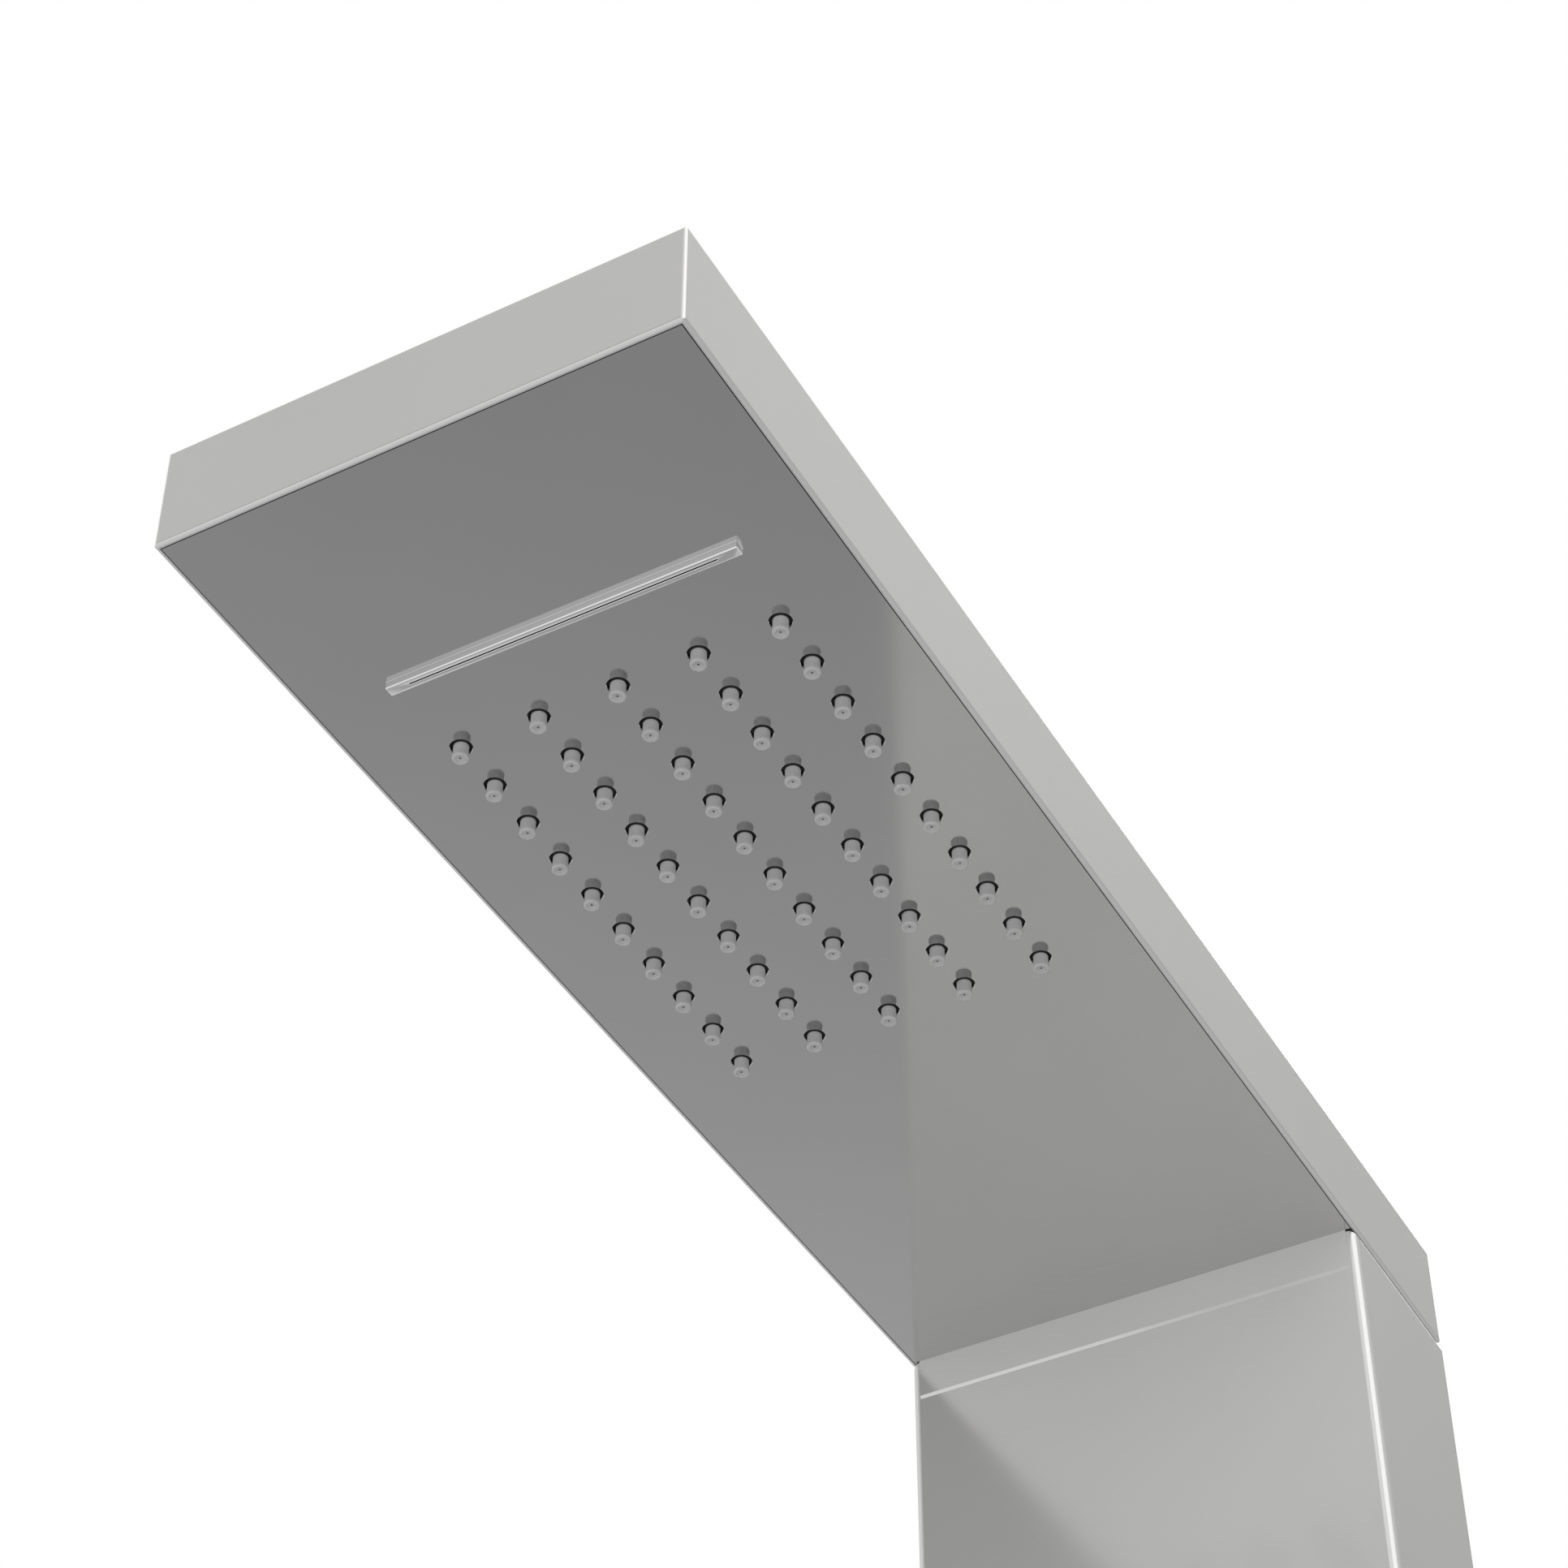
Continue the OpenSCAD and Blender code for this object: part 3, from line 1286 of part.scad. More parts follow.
// Body of a swivelling jet, pushed in from the front
module jet_body(i) {
    color(grey_plastic) at_front(0, jet_zs[i]) difference() {
        union() {
            square_bar(jet_flange_w, jet_frame_r, 0, jet_flange_t);
            bar(jet_barrel_d, -jet_back, jet_flange_t / 2);
            bar(main_d, -jet_back - jet_tail_l, 0);
        }
        translate([0, 0, jet_centre]) sphere(r = jet_ball_r + jet_ball_gap);
        bar(2 * (jet_ball_r + jet_ball_gap), jet_centre, jet_flange_t + over);
        bar(main_d - 2 * pipe_wall, -jet_back - jet_tail_l - over, 0);
    }
}

// Ball of a jet with its spray holes
module jet_ball(i) {
    color(chrome) at_front(0, jet_zs[i]) difference() {
        intersection() {
            translate([0, 0, jet_centre]) sphere(r = jet_ball_r);
            bar(4 * jet_ball_r, jet_centre - jet_ball_r + pipe_wall, jet_face);
        }
        bar(jet_inlet_d, jet_centre - 2 * jet_ball_r, jet_face - jet_face_t);
        bar(jet_room_d, jet_face - jet_face_t - jet_room_l, jet_face - jet_face_t);
        bar(jet_hole_d, 0, jet_face + over);
        for (a = [0 : jet_ring_holes - 1]) rotate([0, 0, a * 360 / jet_ring_holes]) {
            translate([jet_ring_r / 2, 0, 0]) bar(jet_hole_d, 0, jet_face + over);
        }
        for (a = [0 : jet_ring_holes - 1]) rotate([0, 0, (a + 0.5) * 360 / jet_ring_holes]) {
            translate([jet_ring_r, 0, 0]) bar(jet_hole_d, 0, jet_face + over);
        }
    }
}

module jet_body_1() { jet_body(0); }
module jet_body_2() { jet_body(1); }
module jet_body_3() { jet_body(2); }
module jet_ball_1() { jet_ball(0); }
module jet_ball_2() { jet_ball(1); }
module jet_ball_3() { jet_ball(2); }

// Square frames that keep the jets' balls in their seats
module jet_frames() {
    color(chrome) for (z = jet_zs) at_front(0, z) difference() {
        square_bar(jet_frame_w, jet_frame_r, 0, jet_flange_t + jet_frame_t);
        square_bar(jet_flange_w + 2 * fit_gap, jet_frame_r, -over, jet_flange_t);
        translate([0, 0, jet_centre]) sphere(r = jet_ball_r + jet_ball_gap);
    }
}

module jet_nuts() {
    color(grey_plastic) for (z = jet_zs) at_front(0, z) difference() {
        hex_bar(jet_nut_w, -sheet - jet_nut_t, -sheet);
        bar(jet_barrel_d + 2 * fit_gap, -sheet - jet_nut_t - over, over);
    }
}

// Outlet elbow for the hand shower's hose
module hand_elbow() {
    color(chrome) at_front(0, z_hand) difference() {
        union() {
            bar(thread_d, -hand_shank_l, 0);
            soft_bar(hand_collar_d, 0, hand_collar_t, knob_edge_r / 2);
            bar(hand_body_d, 0, hand_reach);
            translate([0, 0, hand_reach]) sphere(d = hand_body_d);
            translate([0, 0, hand_reach]) rotate([90, 0, 0]) {
                bar(hand_body_d, 0, hand_leg);
                bar(thread_d, 0, hand_leg + thread_l);
            }
        }
        bar(thread_bore_d, -hand_shank_l - over, hand_reach);
        translate([0, 0, hand_reach]) sphere(d = thread_bore_d);
        translate([0, 0, hand_reach]) rotate([90, 0, 0]) bar(thread_bore_d, 0, hand_leg + thread_l + over);
    }
}

module hand_nut() {
    color(brass) at_front(0, z_hand) difference() {
        hex_bar(hand_nut_af, -sheet - hand_nut_t, -sheet);
        bar(thread_d + 2 * fit_gap, -sheet - hand_nut_t - over, over);
    }
}

// Brass cup that joins the hand shower's pipe to the elbow
module hand_adapter() {
    t0 = -pipe_t - hand_adapter_d / 2;
    t1 = -sheet - hand_nut_t - face_gap;
    boss_end = hand_adapter_d / 2 + socket_l;
    color(brass) at_front(0, z_hand) difference() {
        union() {
            bar(hand_adapter_d, t0, t1);
            translate([0, 0, -pipe_t]) rotate([0, 90, 0]) bar(socket_d, 0, boss_end);
        }
        bar(thread_d + 2 * fit_gap, -hand_shank_l - face_gap, t1 + over);
        bar(thread_bore_d, t0 + sleeve_floor, t1);
        translate([0, 0, -pipe_t]) rotate([0, 90, 0]) {
            bar(feed_d - 2 * pipe_wall, 0, boss_end);
            bar(feed_d + 2 * fit_gap, boss_end - socket_l, boss_end + over);
        }
    }
}

// Puts its children on the column's right side, with Z pointing out of it
module at_side() {
    translate([panel_w / 2, cradle_y, z_cradle]) rotate([0, 90, 0]) children();
}

// Post on the column's side that the cradle turns on
module cradle_post() {
    end = cradle_out + cradle_l / 2 + face_gap;
    color(chrome) at_side() {
        soft_bar(post_base_d, 0, post_base_t, knob_edge_r / 2);
        bar(post_cap_d, 0, cradle_out - cradle_l / 2 - face_gap);
        bar(post_d, 0, end + post_cap_t / 2);
        soft_bar(post_cap_d, end, end + post_cap_t, knob_edge_r / 2);
        bar(post_screw_d, -sheet - neck_bolt_head_t, 0);
        hex_bar(neck_bolt_af, -sheet - neck_bolt_head_t, -sheet);
    }
}

// Cradle with an open cup that holds the hand shower's grip
module cradle() {
    color(chrome) difference() {
        union() {
            at_side() bar(sleeve_out_d, cradle_out - cradle_l / 2, cradle_out + cradle_l / 2);
            translate([cradle_x, cup_y, z_cradle - cup_h / 2]) bar(cup_d + 2 * cup_wall, 0, cup_h);
        }
        at_side() bar(post_d + 2 * run_gap, 0, 2 * cradle_out);
        translate([cradle_x, cup_y, z_cradle - cup_h / 2]) {
            bar(cup_d, -over, cup_h + over);
            translate([-cup_slot / 2, -cup_d, -over]) cube([cup_slot, cup_d, cup_h + 2 * over]);
        }
    }
}

head_shell();
head_plate();
nozzle_mat();
rain_chamber();
rain_elbow();
waterfall_spout();
waterfall_gasket();
waterfall_chamber();
waterfall_elbow();
chamber_nuts();
rain_pipe();
waterfall_pipe();
head_bolts();
head_nuts();
neck_seal();
column_casing();
bottom_cap();
cap_screws();
upper_rail();
lower_rail();
rail_rivets();
upper_wall_bracket();
lower_wall_bracket();
thermo_body();
thermo_cartridge();
thermo_spool();
wax_element();
return_spring();
thermo_spindle();
temperature_knob();
safety_button();
button_spring();
inlet_nipples();
inlet_strainers();
diverter_body();
diverter_cartridge();
fixed_disc();
turning_disc();
diverter_spindle();
diverter_knob();
clamp_rings();
gland_nuts();
valve_covers();
valve_seals();
mixed_pipe();
jet_riser();
hand_pipe();
jet_body_1();
jet_body_2();
jet_body_3();
jet_ball_1();
jet_ball_2();
jet_ball_3();
jet_frames();
jet_nuts();
hand_elbow();
hand_nut();
hand_adapter();
cradle_post();
cradle();
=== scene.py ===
import json
import math

import bmesh
import bpy
from bpy.props import FloatProperty, FloatVectorProperty, IntProperty, PointerProperty
from mathutils import Matrix, Vector


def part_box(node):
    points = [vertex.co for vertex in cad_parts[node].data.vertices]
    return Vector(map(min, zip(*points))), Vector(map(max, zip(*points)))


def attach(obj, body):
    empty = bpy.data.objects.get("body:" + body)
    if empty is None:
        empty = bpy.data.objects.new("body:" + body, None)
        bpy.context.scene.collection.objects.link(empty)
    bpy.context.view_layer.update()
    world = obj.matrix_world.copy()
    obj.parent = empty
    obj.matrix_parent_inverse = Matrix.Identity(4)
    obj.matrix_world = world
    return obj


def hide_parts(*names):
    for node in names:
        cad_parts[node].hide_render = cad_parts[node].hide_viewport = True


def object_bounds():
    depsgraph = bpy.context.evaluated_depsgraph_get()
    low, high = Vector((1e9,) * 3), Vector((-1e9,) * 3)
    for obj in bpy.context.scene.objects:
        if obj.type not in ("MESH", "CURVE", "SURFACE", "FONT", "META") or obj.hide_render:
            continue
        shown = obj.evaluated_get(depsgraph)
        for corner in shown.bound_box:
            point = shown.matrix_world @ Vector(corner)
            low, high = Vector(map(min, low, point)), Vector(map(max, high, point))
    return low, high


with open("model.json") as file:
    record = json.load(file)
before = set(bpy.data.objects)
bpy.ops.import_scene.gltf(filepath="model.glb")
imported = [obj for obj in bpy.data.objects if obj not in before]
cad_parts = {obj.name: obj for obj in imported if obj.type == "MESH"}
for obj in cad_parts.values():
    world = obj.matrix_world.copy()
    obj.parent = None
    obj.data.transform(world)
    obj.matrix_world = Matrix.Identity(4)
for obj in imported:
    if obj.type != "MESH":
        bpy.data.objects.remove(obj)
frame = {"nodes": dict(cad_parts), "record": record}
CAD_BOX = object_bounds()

bl_info = {
    "name": "Shower panel column",
    "version": (1, 0, 0),
    "blender": (4, 5, 0),
    "location": "View3D > Sidebar > Shower panel",
    "description": "Dresses the shower panel's frame with its finishes, fine pieces and a plain studio",
    "category": "Object",
}

MM = 0.001
X, Y, Z = range(3)


def lowest(node, axis):
    """The lowest place of a frame part along an axis, in millimetres."""
    return round(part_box(node)[0][axis] / MM, 2)


def highest(node, axis):
    """The highest place of a frame part along an axis, in millimetres."""
    return round(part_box(node)[1][axis] / MM, 2)


def middle(node, axis):
    """The middle of a frame part along an axis, in millimetres."""
    return round((lowest(node, axis) + highest(node, axis)) / 2, 2)


# Places and sizes on the panel are in millimetres, in the frame's own axes

# The column's front and its right side, and the thickness of the sheet
FRONT = highest("valve_covers", Y)
SIDE = highest("column_casing", X)
SHEET = 1.2

# Heights in the head: its underside, the plate's upper face and the silicone mat's upper face
HEAD_UNDER = lowest("head_plate", Z)
PLATE_TOP = HEAD_UNDER + SHEET
MAT_TOP = highest("nozzle_mat", Z)

# Heights over which the head's polished rim ends, and over which shade is painted: on the plate's hole walls
# and folded edges, and on the silicone in the holes
RIM = (HEAD_UNDER + 0.2, HEAD_UNDER + 1.0)
PAINTED_SHADE_HEIGHTS = (HEAD_UNDER + 0.04, HEAD_UNDER + 0.2)

# Share of bare metal in the look of the folded sheet, the rest being pale lacquer, and the share of a
# colour that is left as painted shade inside the plate's holes
SHEET_METAL = 0.5
PAINTED_SHADE_SHARE = 0.12

# Nozzles: their pitch and count across and along, and how far they stand out
NOZZLE_PITCH = (22.0, 15.3)
NOZZLE_COUNT = (5, 10)
NOZZLE_OUT = HEAD_UNDER - lowest("nozzle_mat", Z)

# Waterfall: its middle, half of the blade's length and thickness, how far it stands out, the slit's end
# and half of its mouth, and how much wider than the blade its root is
SPOUT_Y = middle("waterfall_spout", Y)
BLADE = (47.75, 1.5)
BLADE_OUT = HEAD_UNDER - lowest("waterfall_spout", Z)
SLIT = (42.0, 0.75)
ROOT = 0.14

# Holes for the plate's welded studs: their radius, how far they are from the mat's and the flange's
# edge, and how much further the mat's corner studs are from its ends
STUD_HOLE_R = 1.7
STUD_INSET = 4.0
STUD_CORNER = 6.0

# Valves: heights of their axes, and how far the covers and the temperature knob reach out of the front
THERMO_Z = middle("thermo_spindle", Z)
DIVERTER_Z = middle("diverter_spindle", Z)
COVER_OUT = FRONT - lowest("valve_covers", Y)
KNOB_OUT = FRONT - lowest("temperature_knob", Y)

# Marks: outer end of the ticks, inner end and width of a long and a short tick, the circle and height of
# the numbers, and the pointer's two ends and half of its width
TICK_END = 29.8
TICKS = {"long": (28.4, 0.8), "short": (28.0, 0.5)}
NUMBER_R = 25.9
NUMBER_SIZE = 4.2
POINTER = (11.0, 19.5, 0.6)

# Pipe threads: outer radius, bore, the hose outlet's height and the inlets' places
THREAD_R = 10.4775
BORE = 7.0
HOSE_Z = middle("hand_nut", Z)
INLET_X = 25.0
PIPE_Y = middle("inlet_nipples", Y)

# Screws of the bottom cap
CAP_SCREW_Z = middle("cap_screws", Z)
CAP_SCREW_YS = (-48.5, -16.0)

# Studio, in metres: the camera's place, the picture's right and up, the lens and the sensor in
# millimetres, and the place, the target and the width of each lamp
CAMERA_PLACE = (0.3365, -0.8764, -0.5371)
CAMERA_RIGHT = (0.87537, 0.48345, 0.00066)
CAMERA_UP = (0.32965, -0.5979, 0.73065)
LENS = 84.93
SENSOR = 36.0
KEY_LAMP = ((1.45, -1.0, 1.55), (0.0, -0.2, 0.05), 1.5)
RIM_LAMP = ((-0.36, 1.4, 1.75), (0.0, -0.02, 0.08), 0.5)
FILL_LAMP = ((0.5, -2.4, -0.5), (0.0, -0.06, -0.1), 1.0)

# Brightness of the world as the steel mirrors it: nearly the white of the background, but dark in one
# wide patch, which the underside mirrors. Three small patches are for the column's front and the edges.
# A patch is the way to its middle, the cosines of its border and of its full part, and what it adds.
WORLD_TONE = 1.02
DARK_PATCH = ((-0.38, 0.63, -0.68), 0.77, 0.95)
PATCHES = (
    ((-0.4, -0.6, 0.69), 0.85, 0.97, -0.55),
    ((-0.37, -0.77, 0.52), 0.95, 0.99, -0.5),
    ((-0.1, 0.82, 0.56), 0.975, 0.99, 2.5),
)

# The panel's finishes by name, which the first operator makes
FINISHES = {}


# Settings

class PanelToneSettings(bpy.types.PropertyGroup):
    steel: FloatVectorProperty(
        name="Satin steel", description="Colour of the folded, lacquered steel sheet", subtype="COLOR",
        size=3, min=0.0, max=1.0, default=(0.58, 0.578, 0.569))
    plate: FloatVectorProperty(
        name="Polished plate", description="Colour of the head's polished underside", subtype="COLOR",
        size=3, min=0.0, max=1.0, default=(0.47, 0.47, 0.47))
    blade: FloatVectorProperty(
        name="Blade", description="Colour of the waterfall's blade", subtype="COLOR",
        size=3, min=0.0, max=1.0, default=(0.70, 0.70, 0.70))
    chrome: FloatVectorProperty(
        name="Chrome", description="Colour of the knobs, covers and jets", subtype="COLOR",
        size=3, min=0.0, max=1.0, default=(0.62, 0.63, 0.65))
    brass: FloatVectorProperty(
        name="Brass", description="Colour of the valve bodies", subtype="COLOR",
        size=3, min=0.0, max=1.0, default=(0.56, 0.40, 0.17))
    silicone: FloatVectorProperty(
        name="Silicone", description="Colour of the soft nozzles", subtype="COLOR",
        size=3, min=0.0, max=1.0, default=(0.36, 0.36, 0.36))
    rubber: FloatVectorProperty(
        name="Rubber", description="Colour of the seals", subtype="COLOR",
        size=3, min=0.0, max=1.0, default=(0.022, 0.022, 0.023))
    plastic: FloatVectorProperty(
        name="Grey plastic", description="Colour of the moulded covers and cartridges", subtype="COLOR",
        size=3, min=0.0, max=1.0, default=(0.107, 0.113, 0.125))
    button: FloatVectorProperty(
        name="Safety button", description="Colour of the safety button", subtype="COLOR",
        size=3, min=0.0, max=1.0, default=(0.52, 0.018, 0.012))


class PanelPieceSettings(bpy.types.PropertyGroup):
    satin: FloatProperty(
        name="Satin", description="Roughness of the steel sheet", min=0.05, max=0.5, default=0.16)
    polish: FloatProperty(
        name="Polish", description="Roughness of the polished plate", min=0.05, max=0.5, default=0.08)
    thread_pitch: FloatProperty(
        name="Thread pitch", description="Pitch of the half-inch pipe threads", subtype="DISTANCE",
        unit="LENGTH", min=0.001, max=0.003, default=0.001814)
    thread_depth: FloatProperty(
        name="Thread depth", description="Depth of the half-inch pipe threads", subtype="DISTANCE",
        unit="LENGTH", min=0.0003, max=0.0015, default=0.0009)
    nozzle_sides: IntProperty(
        name="Nozzle sides", description="Sides of each soft nozzle", min=12, max=32, default=24)
    mark_height: FloatProperty(
        name="Mark height", description="Height of the marks above the covers", subtype="DISTANCE",
        unit="LENGTH", min=0.00005, max=0.0004, default=0.00015)


class PanelStudioSettings(bpy.types.PropertyGroup):
    key_level: FloatProperty(
        name="Key level", description="Brightness of the key lamp's face", min=0.0, max=12.0, default=1.2)
    rim_level: FloatProperty(
        name="Rim level", description="Brightness of the rim lamp's face", min=0.0, max=12.0, default=3.0)
    fill_level: FloatProperty(
        name="Fill level", description="Brightness of the fill lamp's face", min=0.0, max=12.0, default=4.5)
    floor_gap: FloatProperty(
        name="Floor gap", description="Distance from the panel's foot to the floor", subtype="DISTANCE",
        unit="LENGTH", min=0.0, max=0.5, default=0.006)


# Shader maths

class Wire:
    """A socket of a node tree, with arithmetic that adds Math nodes."""

    def __init__(self, finish, socket):
        self.finish = finish
        self.socket = socket

    def maths(self, operation, *values):
        made = self.finish.node("ShaderNodeMath", {"operation": operation}, list(values))
        return self.finish.wire(made, 0)

    def __add__(self, other):
        return self.maths("ADD", self, other)

    __radd__ = __add__

    def __mul__(self, other):
        return self.maths("MULTIPLY", self, other)

    __rmul__ = __mul__

    def __sub__(self, other):
        return self.maths("SUBTRACT", self, other)

    def __rsub__(self, other):
        return self.maths("SUBTRACT", other, self)

    def __pow__(self, other):
        return self.maths("POWER", self, other)

    def top(self, other):
        return self.maths("MAXIMUM", self, other)

    def ramp(self, low, high, to_low=0.0, to_high=1.0):
        """A smooth step from to_low at low to to_high at high."""
        made = self.finish.node(
            "ShaderNodeMapRange", {"interpolation_type": "SMOOTHSTEP"},
            {"Value": self, "From Min": low, "From Max": high, "To Min": to_low, "To Max": to_high})
        return self.finish.wire(made, "Result")


class Finish:
    """A node tree under construction, of a material or of the world."""

    def __init__(self, owner):
        owner.use_nodes = True
        self.owner = owner
        self.tree = owner.node_tree
        self.tree.nodes.clear()

    def node(self, kind, settings=None, values=None):
        """Adds a node: its settings first, then the values or wires of its sockets."""
        made = self.tree.nodes.new(kind)
        for name, value in (settings or {}).items():
            setattr(made, name, value)
        pairs = enumerate(values) if isinstance(values, list) else (values or {}).items()
        for name, value in pairs:
            socket = made.inputs[name]
            if isinstance(value, Wire):
                self.tree.links.new(value.socket, socket)
            else:
                socket.default_value = value
        return made

    def wire(self, made, output):
        return Wire(self, made.outputs[output])

    def place(self, scale=(1.0, 1.0, 1.0)):
        """The object's own coordinates, scaled."""
        here = self.wire(self.node("ShaderNodeTexCoord"), "Object")
        return self.wire(self.node("ShaderNodeMapping", None, {"Vector": here, "Scale": scale}), "Vector")

    def axes(self, vector):
        made = self.node("ShaderNodeSeparateXYZ", None, [vector])
        return [self.wire(made, i) for i in range(3)]

    def noise(self, vector, scale, detail=2.0):
        made = self.node("ShaderNodeTexNoise", None, {"Vector": vector, "Scale": scale, "Detail": detail})
        return self.wire(made, 0)

    def cells(self, vector, scale):
        made = self.node("ShaderNodeTexVoronoi", {"feature": "F1"}, {"Vector": vector, "Scale": scale})
        return self.wire(made, "Distance")

    def blend(self, factor, first, second):
        """A colour between two colours."""
        made = self.node("ShaderNodeMix", {"data_type": "RGBA"}, {0: factor, 6: first, 7: second})
        return self.wire(made, 2)

    def bump(self, height, strength, distance):
        made = self.node("ShaderNodeBump", None, {
            "Strength": strength, "Distance": distance, "Height": height})
        return self.wire(made, "Normal")

    def surface(self, values):
        made = self.node("ShaderNodeBsdfPrincipled", None, values)
        out = self.node("ShaderNodeOutputMaterial")
        self.tree.links.new(made.outputs[0], out.inputs[0])
        return made


def rgba(colour, factor=1.0):
    """The colour times a factor, with its alpha."""
    return (colour[0] * factor, colour[1] * factor, colour[2] * factor, 1.0)


def material(name):
    return Finish(bpy.data.materials.new(name))


def sheet_steel(name, colour, roughness, grain, metal=1.0, rim=None, paint_hole_shade=False):
    """Satin sheet: fine grain along the piece, faint clouding and wipe marks.

    metal is the share of bare metal, the rest being pale lacquer. rim is the colour of the head's
    folded lower rim, which is polished with its plate. The last flag paints shade into the plate's hole
    walls and folded edges, which lie in deep shade: their colour is darkened there.
    """
    f = material(name)
    cloud = f.noise(f.place(), 9.0, 3.0)
    wipe = f.noise(f.place((3.0, 3.0, 0.7)), 16.0, 2.0)
    fine = f.noise(f.place(grain), 1.0, 2.0)
    shade = f.blend(cloud.ramp(0.3, 0.7), rgba(colour, 0.985), rgba(colour, 1.015))
    height = f.axes(f.place())[2]
    # painted shade: the plate's hole walls and folded edges are darkened, as they lie in deep shade
    if paint_hole_shade:
        shade = f.blend(height.ramp(PAINTED_SHADE_HEIGHTS[0] * MM, PAINTED_SHADE_HEIGHTS[1] * MM), shade, rgba(colour, PAINTED_SHADE_SHARE))
    if rim:
        shade = f.blend(height.ramp(RIM[0] * MM, RIM[1] * MM), rgba(rim), shade)
    f.surface({
        "Base Color": shade,
        "Metallic": metal,
        "Roughness": roughness + 0.03 * (wipe - 0.5) + 0.02 * (fine - 0.5),
        "Normal": f.bump(fine, 0.04, 0.00002),
    })
    return f.owner


def chrome_plate(name, colour, roughness):
    """Bright plating: nearly mirror, with faint orange peel and water spots."""
    f = material(name)
    spots = f.cells(f.place(), 90.0).ramp(0.06, 0.13, 0.05, 0.0)
    peel = f.noise(f.place(), 260.0, 1.0)
    haze = f.noise(f.place(), 30.0, 2.0)
    f.surface({
        "Base Color": f.blend(haze, rgba(colour, 0.97), rgba(colour, 1.0)),
        "Metallic": 1.0,
        "Roughness": roughness + spots + 0.03 * haze,
        "Normal": f.bump(peel, 0.03, 0.00005),
    })
    return f.owner


def turned_brass(name, colour):
    """Machined brass: fine tool marks and a slightly darker tarnish in patches."""
    f = material(name)
    tarnish = f.noise(f.place(), 60.0, 3.0).ramp(0.42, 0.68)
    tool = f.noise(f.place((1.0, 14.0, 1.0)), 380.0, 1.0)
    f.surface({
        "Base Color": f.blend(tarnish, rgba(colour), rgba(colour, 0.72)),
        "Metallic": 1.0,
        "Roughness": 0.26 + 0.16 * tarnish + 0.06 * tool,
        "Normal": f.bump(tool, 0.12, 0.00006),
    })
    return f.owner


def zinc_steel(name, colour):
    """Zinc-plated fixings: fine crystals and a dull bloom."""
    f = material(name)
    crystal = f.cells(f.place(), 420.0)
    bloom = f.noise(f.place(), 45.0, 3.0)
    f.surface({
        "Base Color": f.blend(bloom.ramp(0.35, 0.7), rgba(colour), rgba(colour, 0.8)),
        "Metallic": 1.0,
        "Roughness": 0.3 + 0.18 * crystal + 0.08 * bloom,
        "Normal": f.bump(crystal, 0.06, 0.00005),
    })
    return f.owner


def soft_silicone(name, colour):
    """Translucent silicone: light passes into it, with a dusty, finely moulded skin.

    Shade is painted on it inside the plate's holes, which lie in deep shade: its colour is darkened there.
    """
    f = material(name)
    # painted shade: the silicone is darker inside the plate's holes
    painted_shade = f.axes(f.place())[2].ramp(PAINTED_SHADE_HEIGHTS[0] * MM, PAINTED_SHADE_HEIGHTS[1] * MM)
    milk = f.noise(f.place(), 520.0, 2.0)
    skin = f.noise(f.place(), 2600.0, 1.0)
    f.surface({
        "Base Color": f.blend(
            painted_shade, f.blend(milk, rgba(colour, 0.94), rgba(colour, 1.05)), rgba(colour, PAINTED_SHADE_SHARE)),
        "Roughness": 0.36 + 0.12 * milk,
        "Subsurface Weight": 0.35,
        "Subsurface Radius": (0.0016, 0.0015, 0.0014),
        "Subsurface Scale": 1.0,
        "IOR": 1.41,
        "Normal": f.bump(skin, 0.08, 0.00002),
    })
    return f.owner


def moulded_plastic(name, colour, roughness):
    """Moulded plastic: fine spark-eroded grain and slight flow clouding."""
    f = material(name)
    spark = f.noise(f.place(), 1500.0, 2.0)
    flow = f.noise(f.place((1.0, 0.4, 1.0)), 40.0, 2.0)
    f.surface({
        "Base Color": f.blend(flow, rgba(colour, 0.93), rgba(colour, 1.06)),
        "Roughness": roughness + 0.12 * spark,
        "Normal": f.bump(spark, 0.16, 0.00004),
    })
    return f.owner


def black_rubber(name, colour):
    """Seal rubber: matt, with a fine moulded skin and a pale bloom."""
    f = material(name)
    skin = f.noise(f.place(), 900.0, 2.0)
    bloom = f.noise(f.place(), 70.0, 3.0).ramp(0.45, 0.75)
    f.surface({
        "Base Color": f.blend(bloom, rgba(colour), rgba(colour, 1.9)),
        "Roughness": 0.62 + 0.16 * skin,
        "Normal": f.bump(skin, 0.2, 0.00004),
    })
    return f.owner


def fired_ceramic(name):
    """Lapped ceramic discs: off-white, very smooth, with faint lapping arcs."""
    f = material(name)
    fleck = f.noise(f.place(), 700.0, 3.0)
    lap = f.noise(f.place((1.0, 1.0, 8.0)), 500.0, 1.0)
    f.surface({
        "Base Color": f.blend(fleck, (0.82, 0.80, 0.73, 1.0), (0.88, 0.86, 0.80, 1.0)),
        "Roughness": 0.14 + 0.1 * lap,
        "Normal": f.bump(lap, 0.03, 0.00002),
    })
    return f.owner


def enamel(name, colour):
    """Filled marks on the covers."""
    f = material(name)
    grain = f.noise(f.place(), 1800.0, 2.0)
    f.surface({
        "Base Color": f.blend(grain, rgba(colour, 0.9), rgba(colour, 1.1)),
        "Roughness": 0.35 + 0.1 * grain,
        "Normal": f.bump(grain, 0.06, 0.00002),
    })
    return f.owner


# Modelling by hand

def leave_edit():
    """Goes back to object mode."""
    if bpy.context.object and bpy.context.object.mode != "OBJECT":
        bpy.ops.object.mode_set(mode="OBJECT")


def start_piece():
    """Leaves edit mode and deselects everything."""
    leave_edit()
    bpy.ops.object.select_all(action="DESELECT")


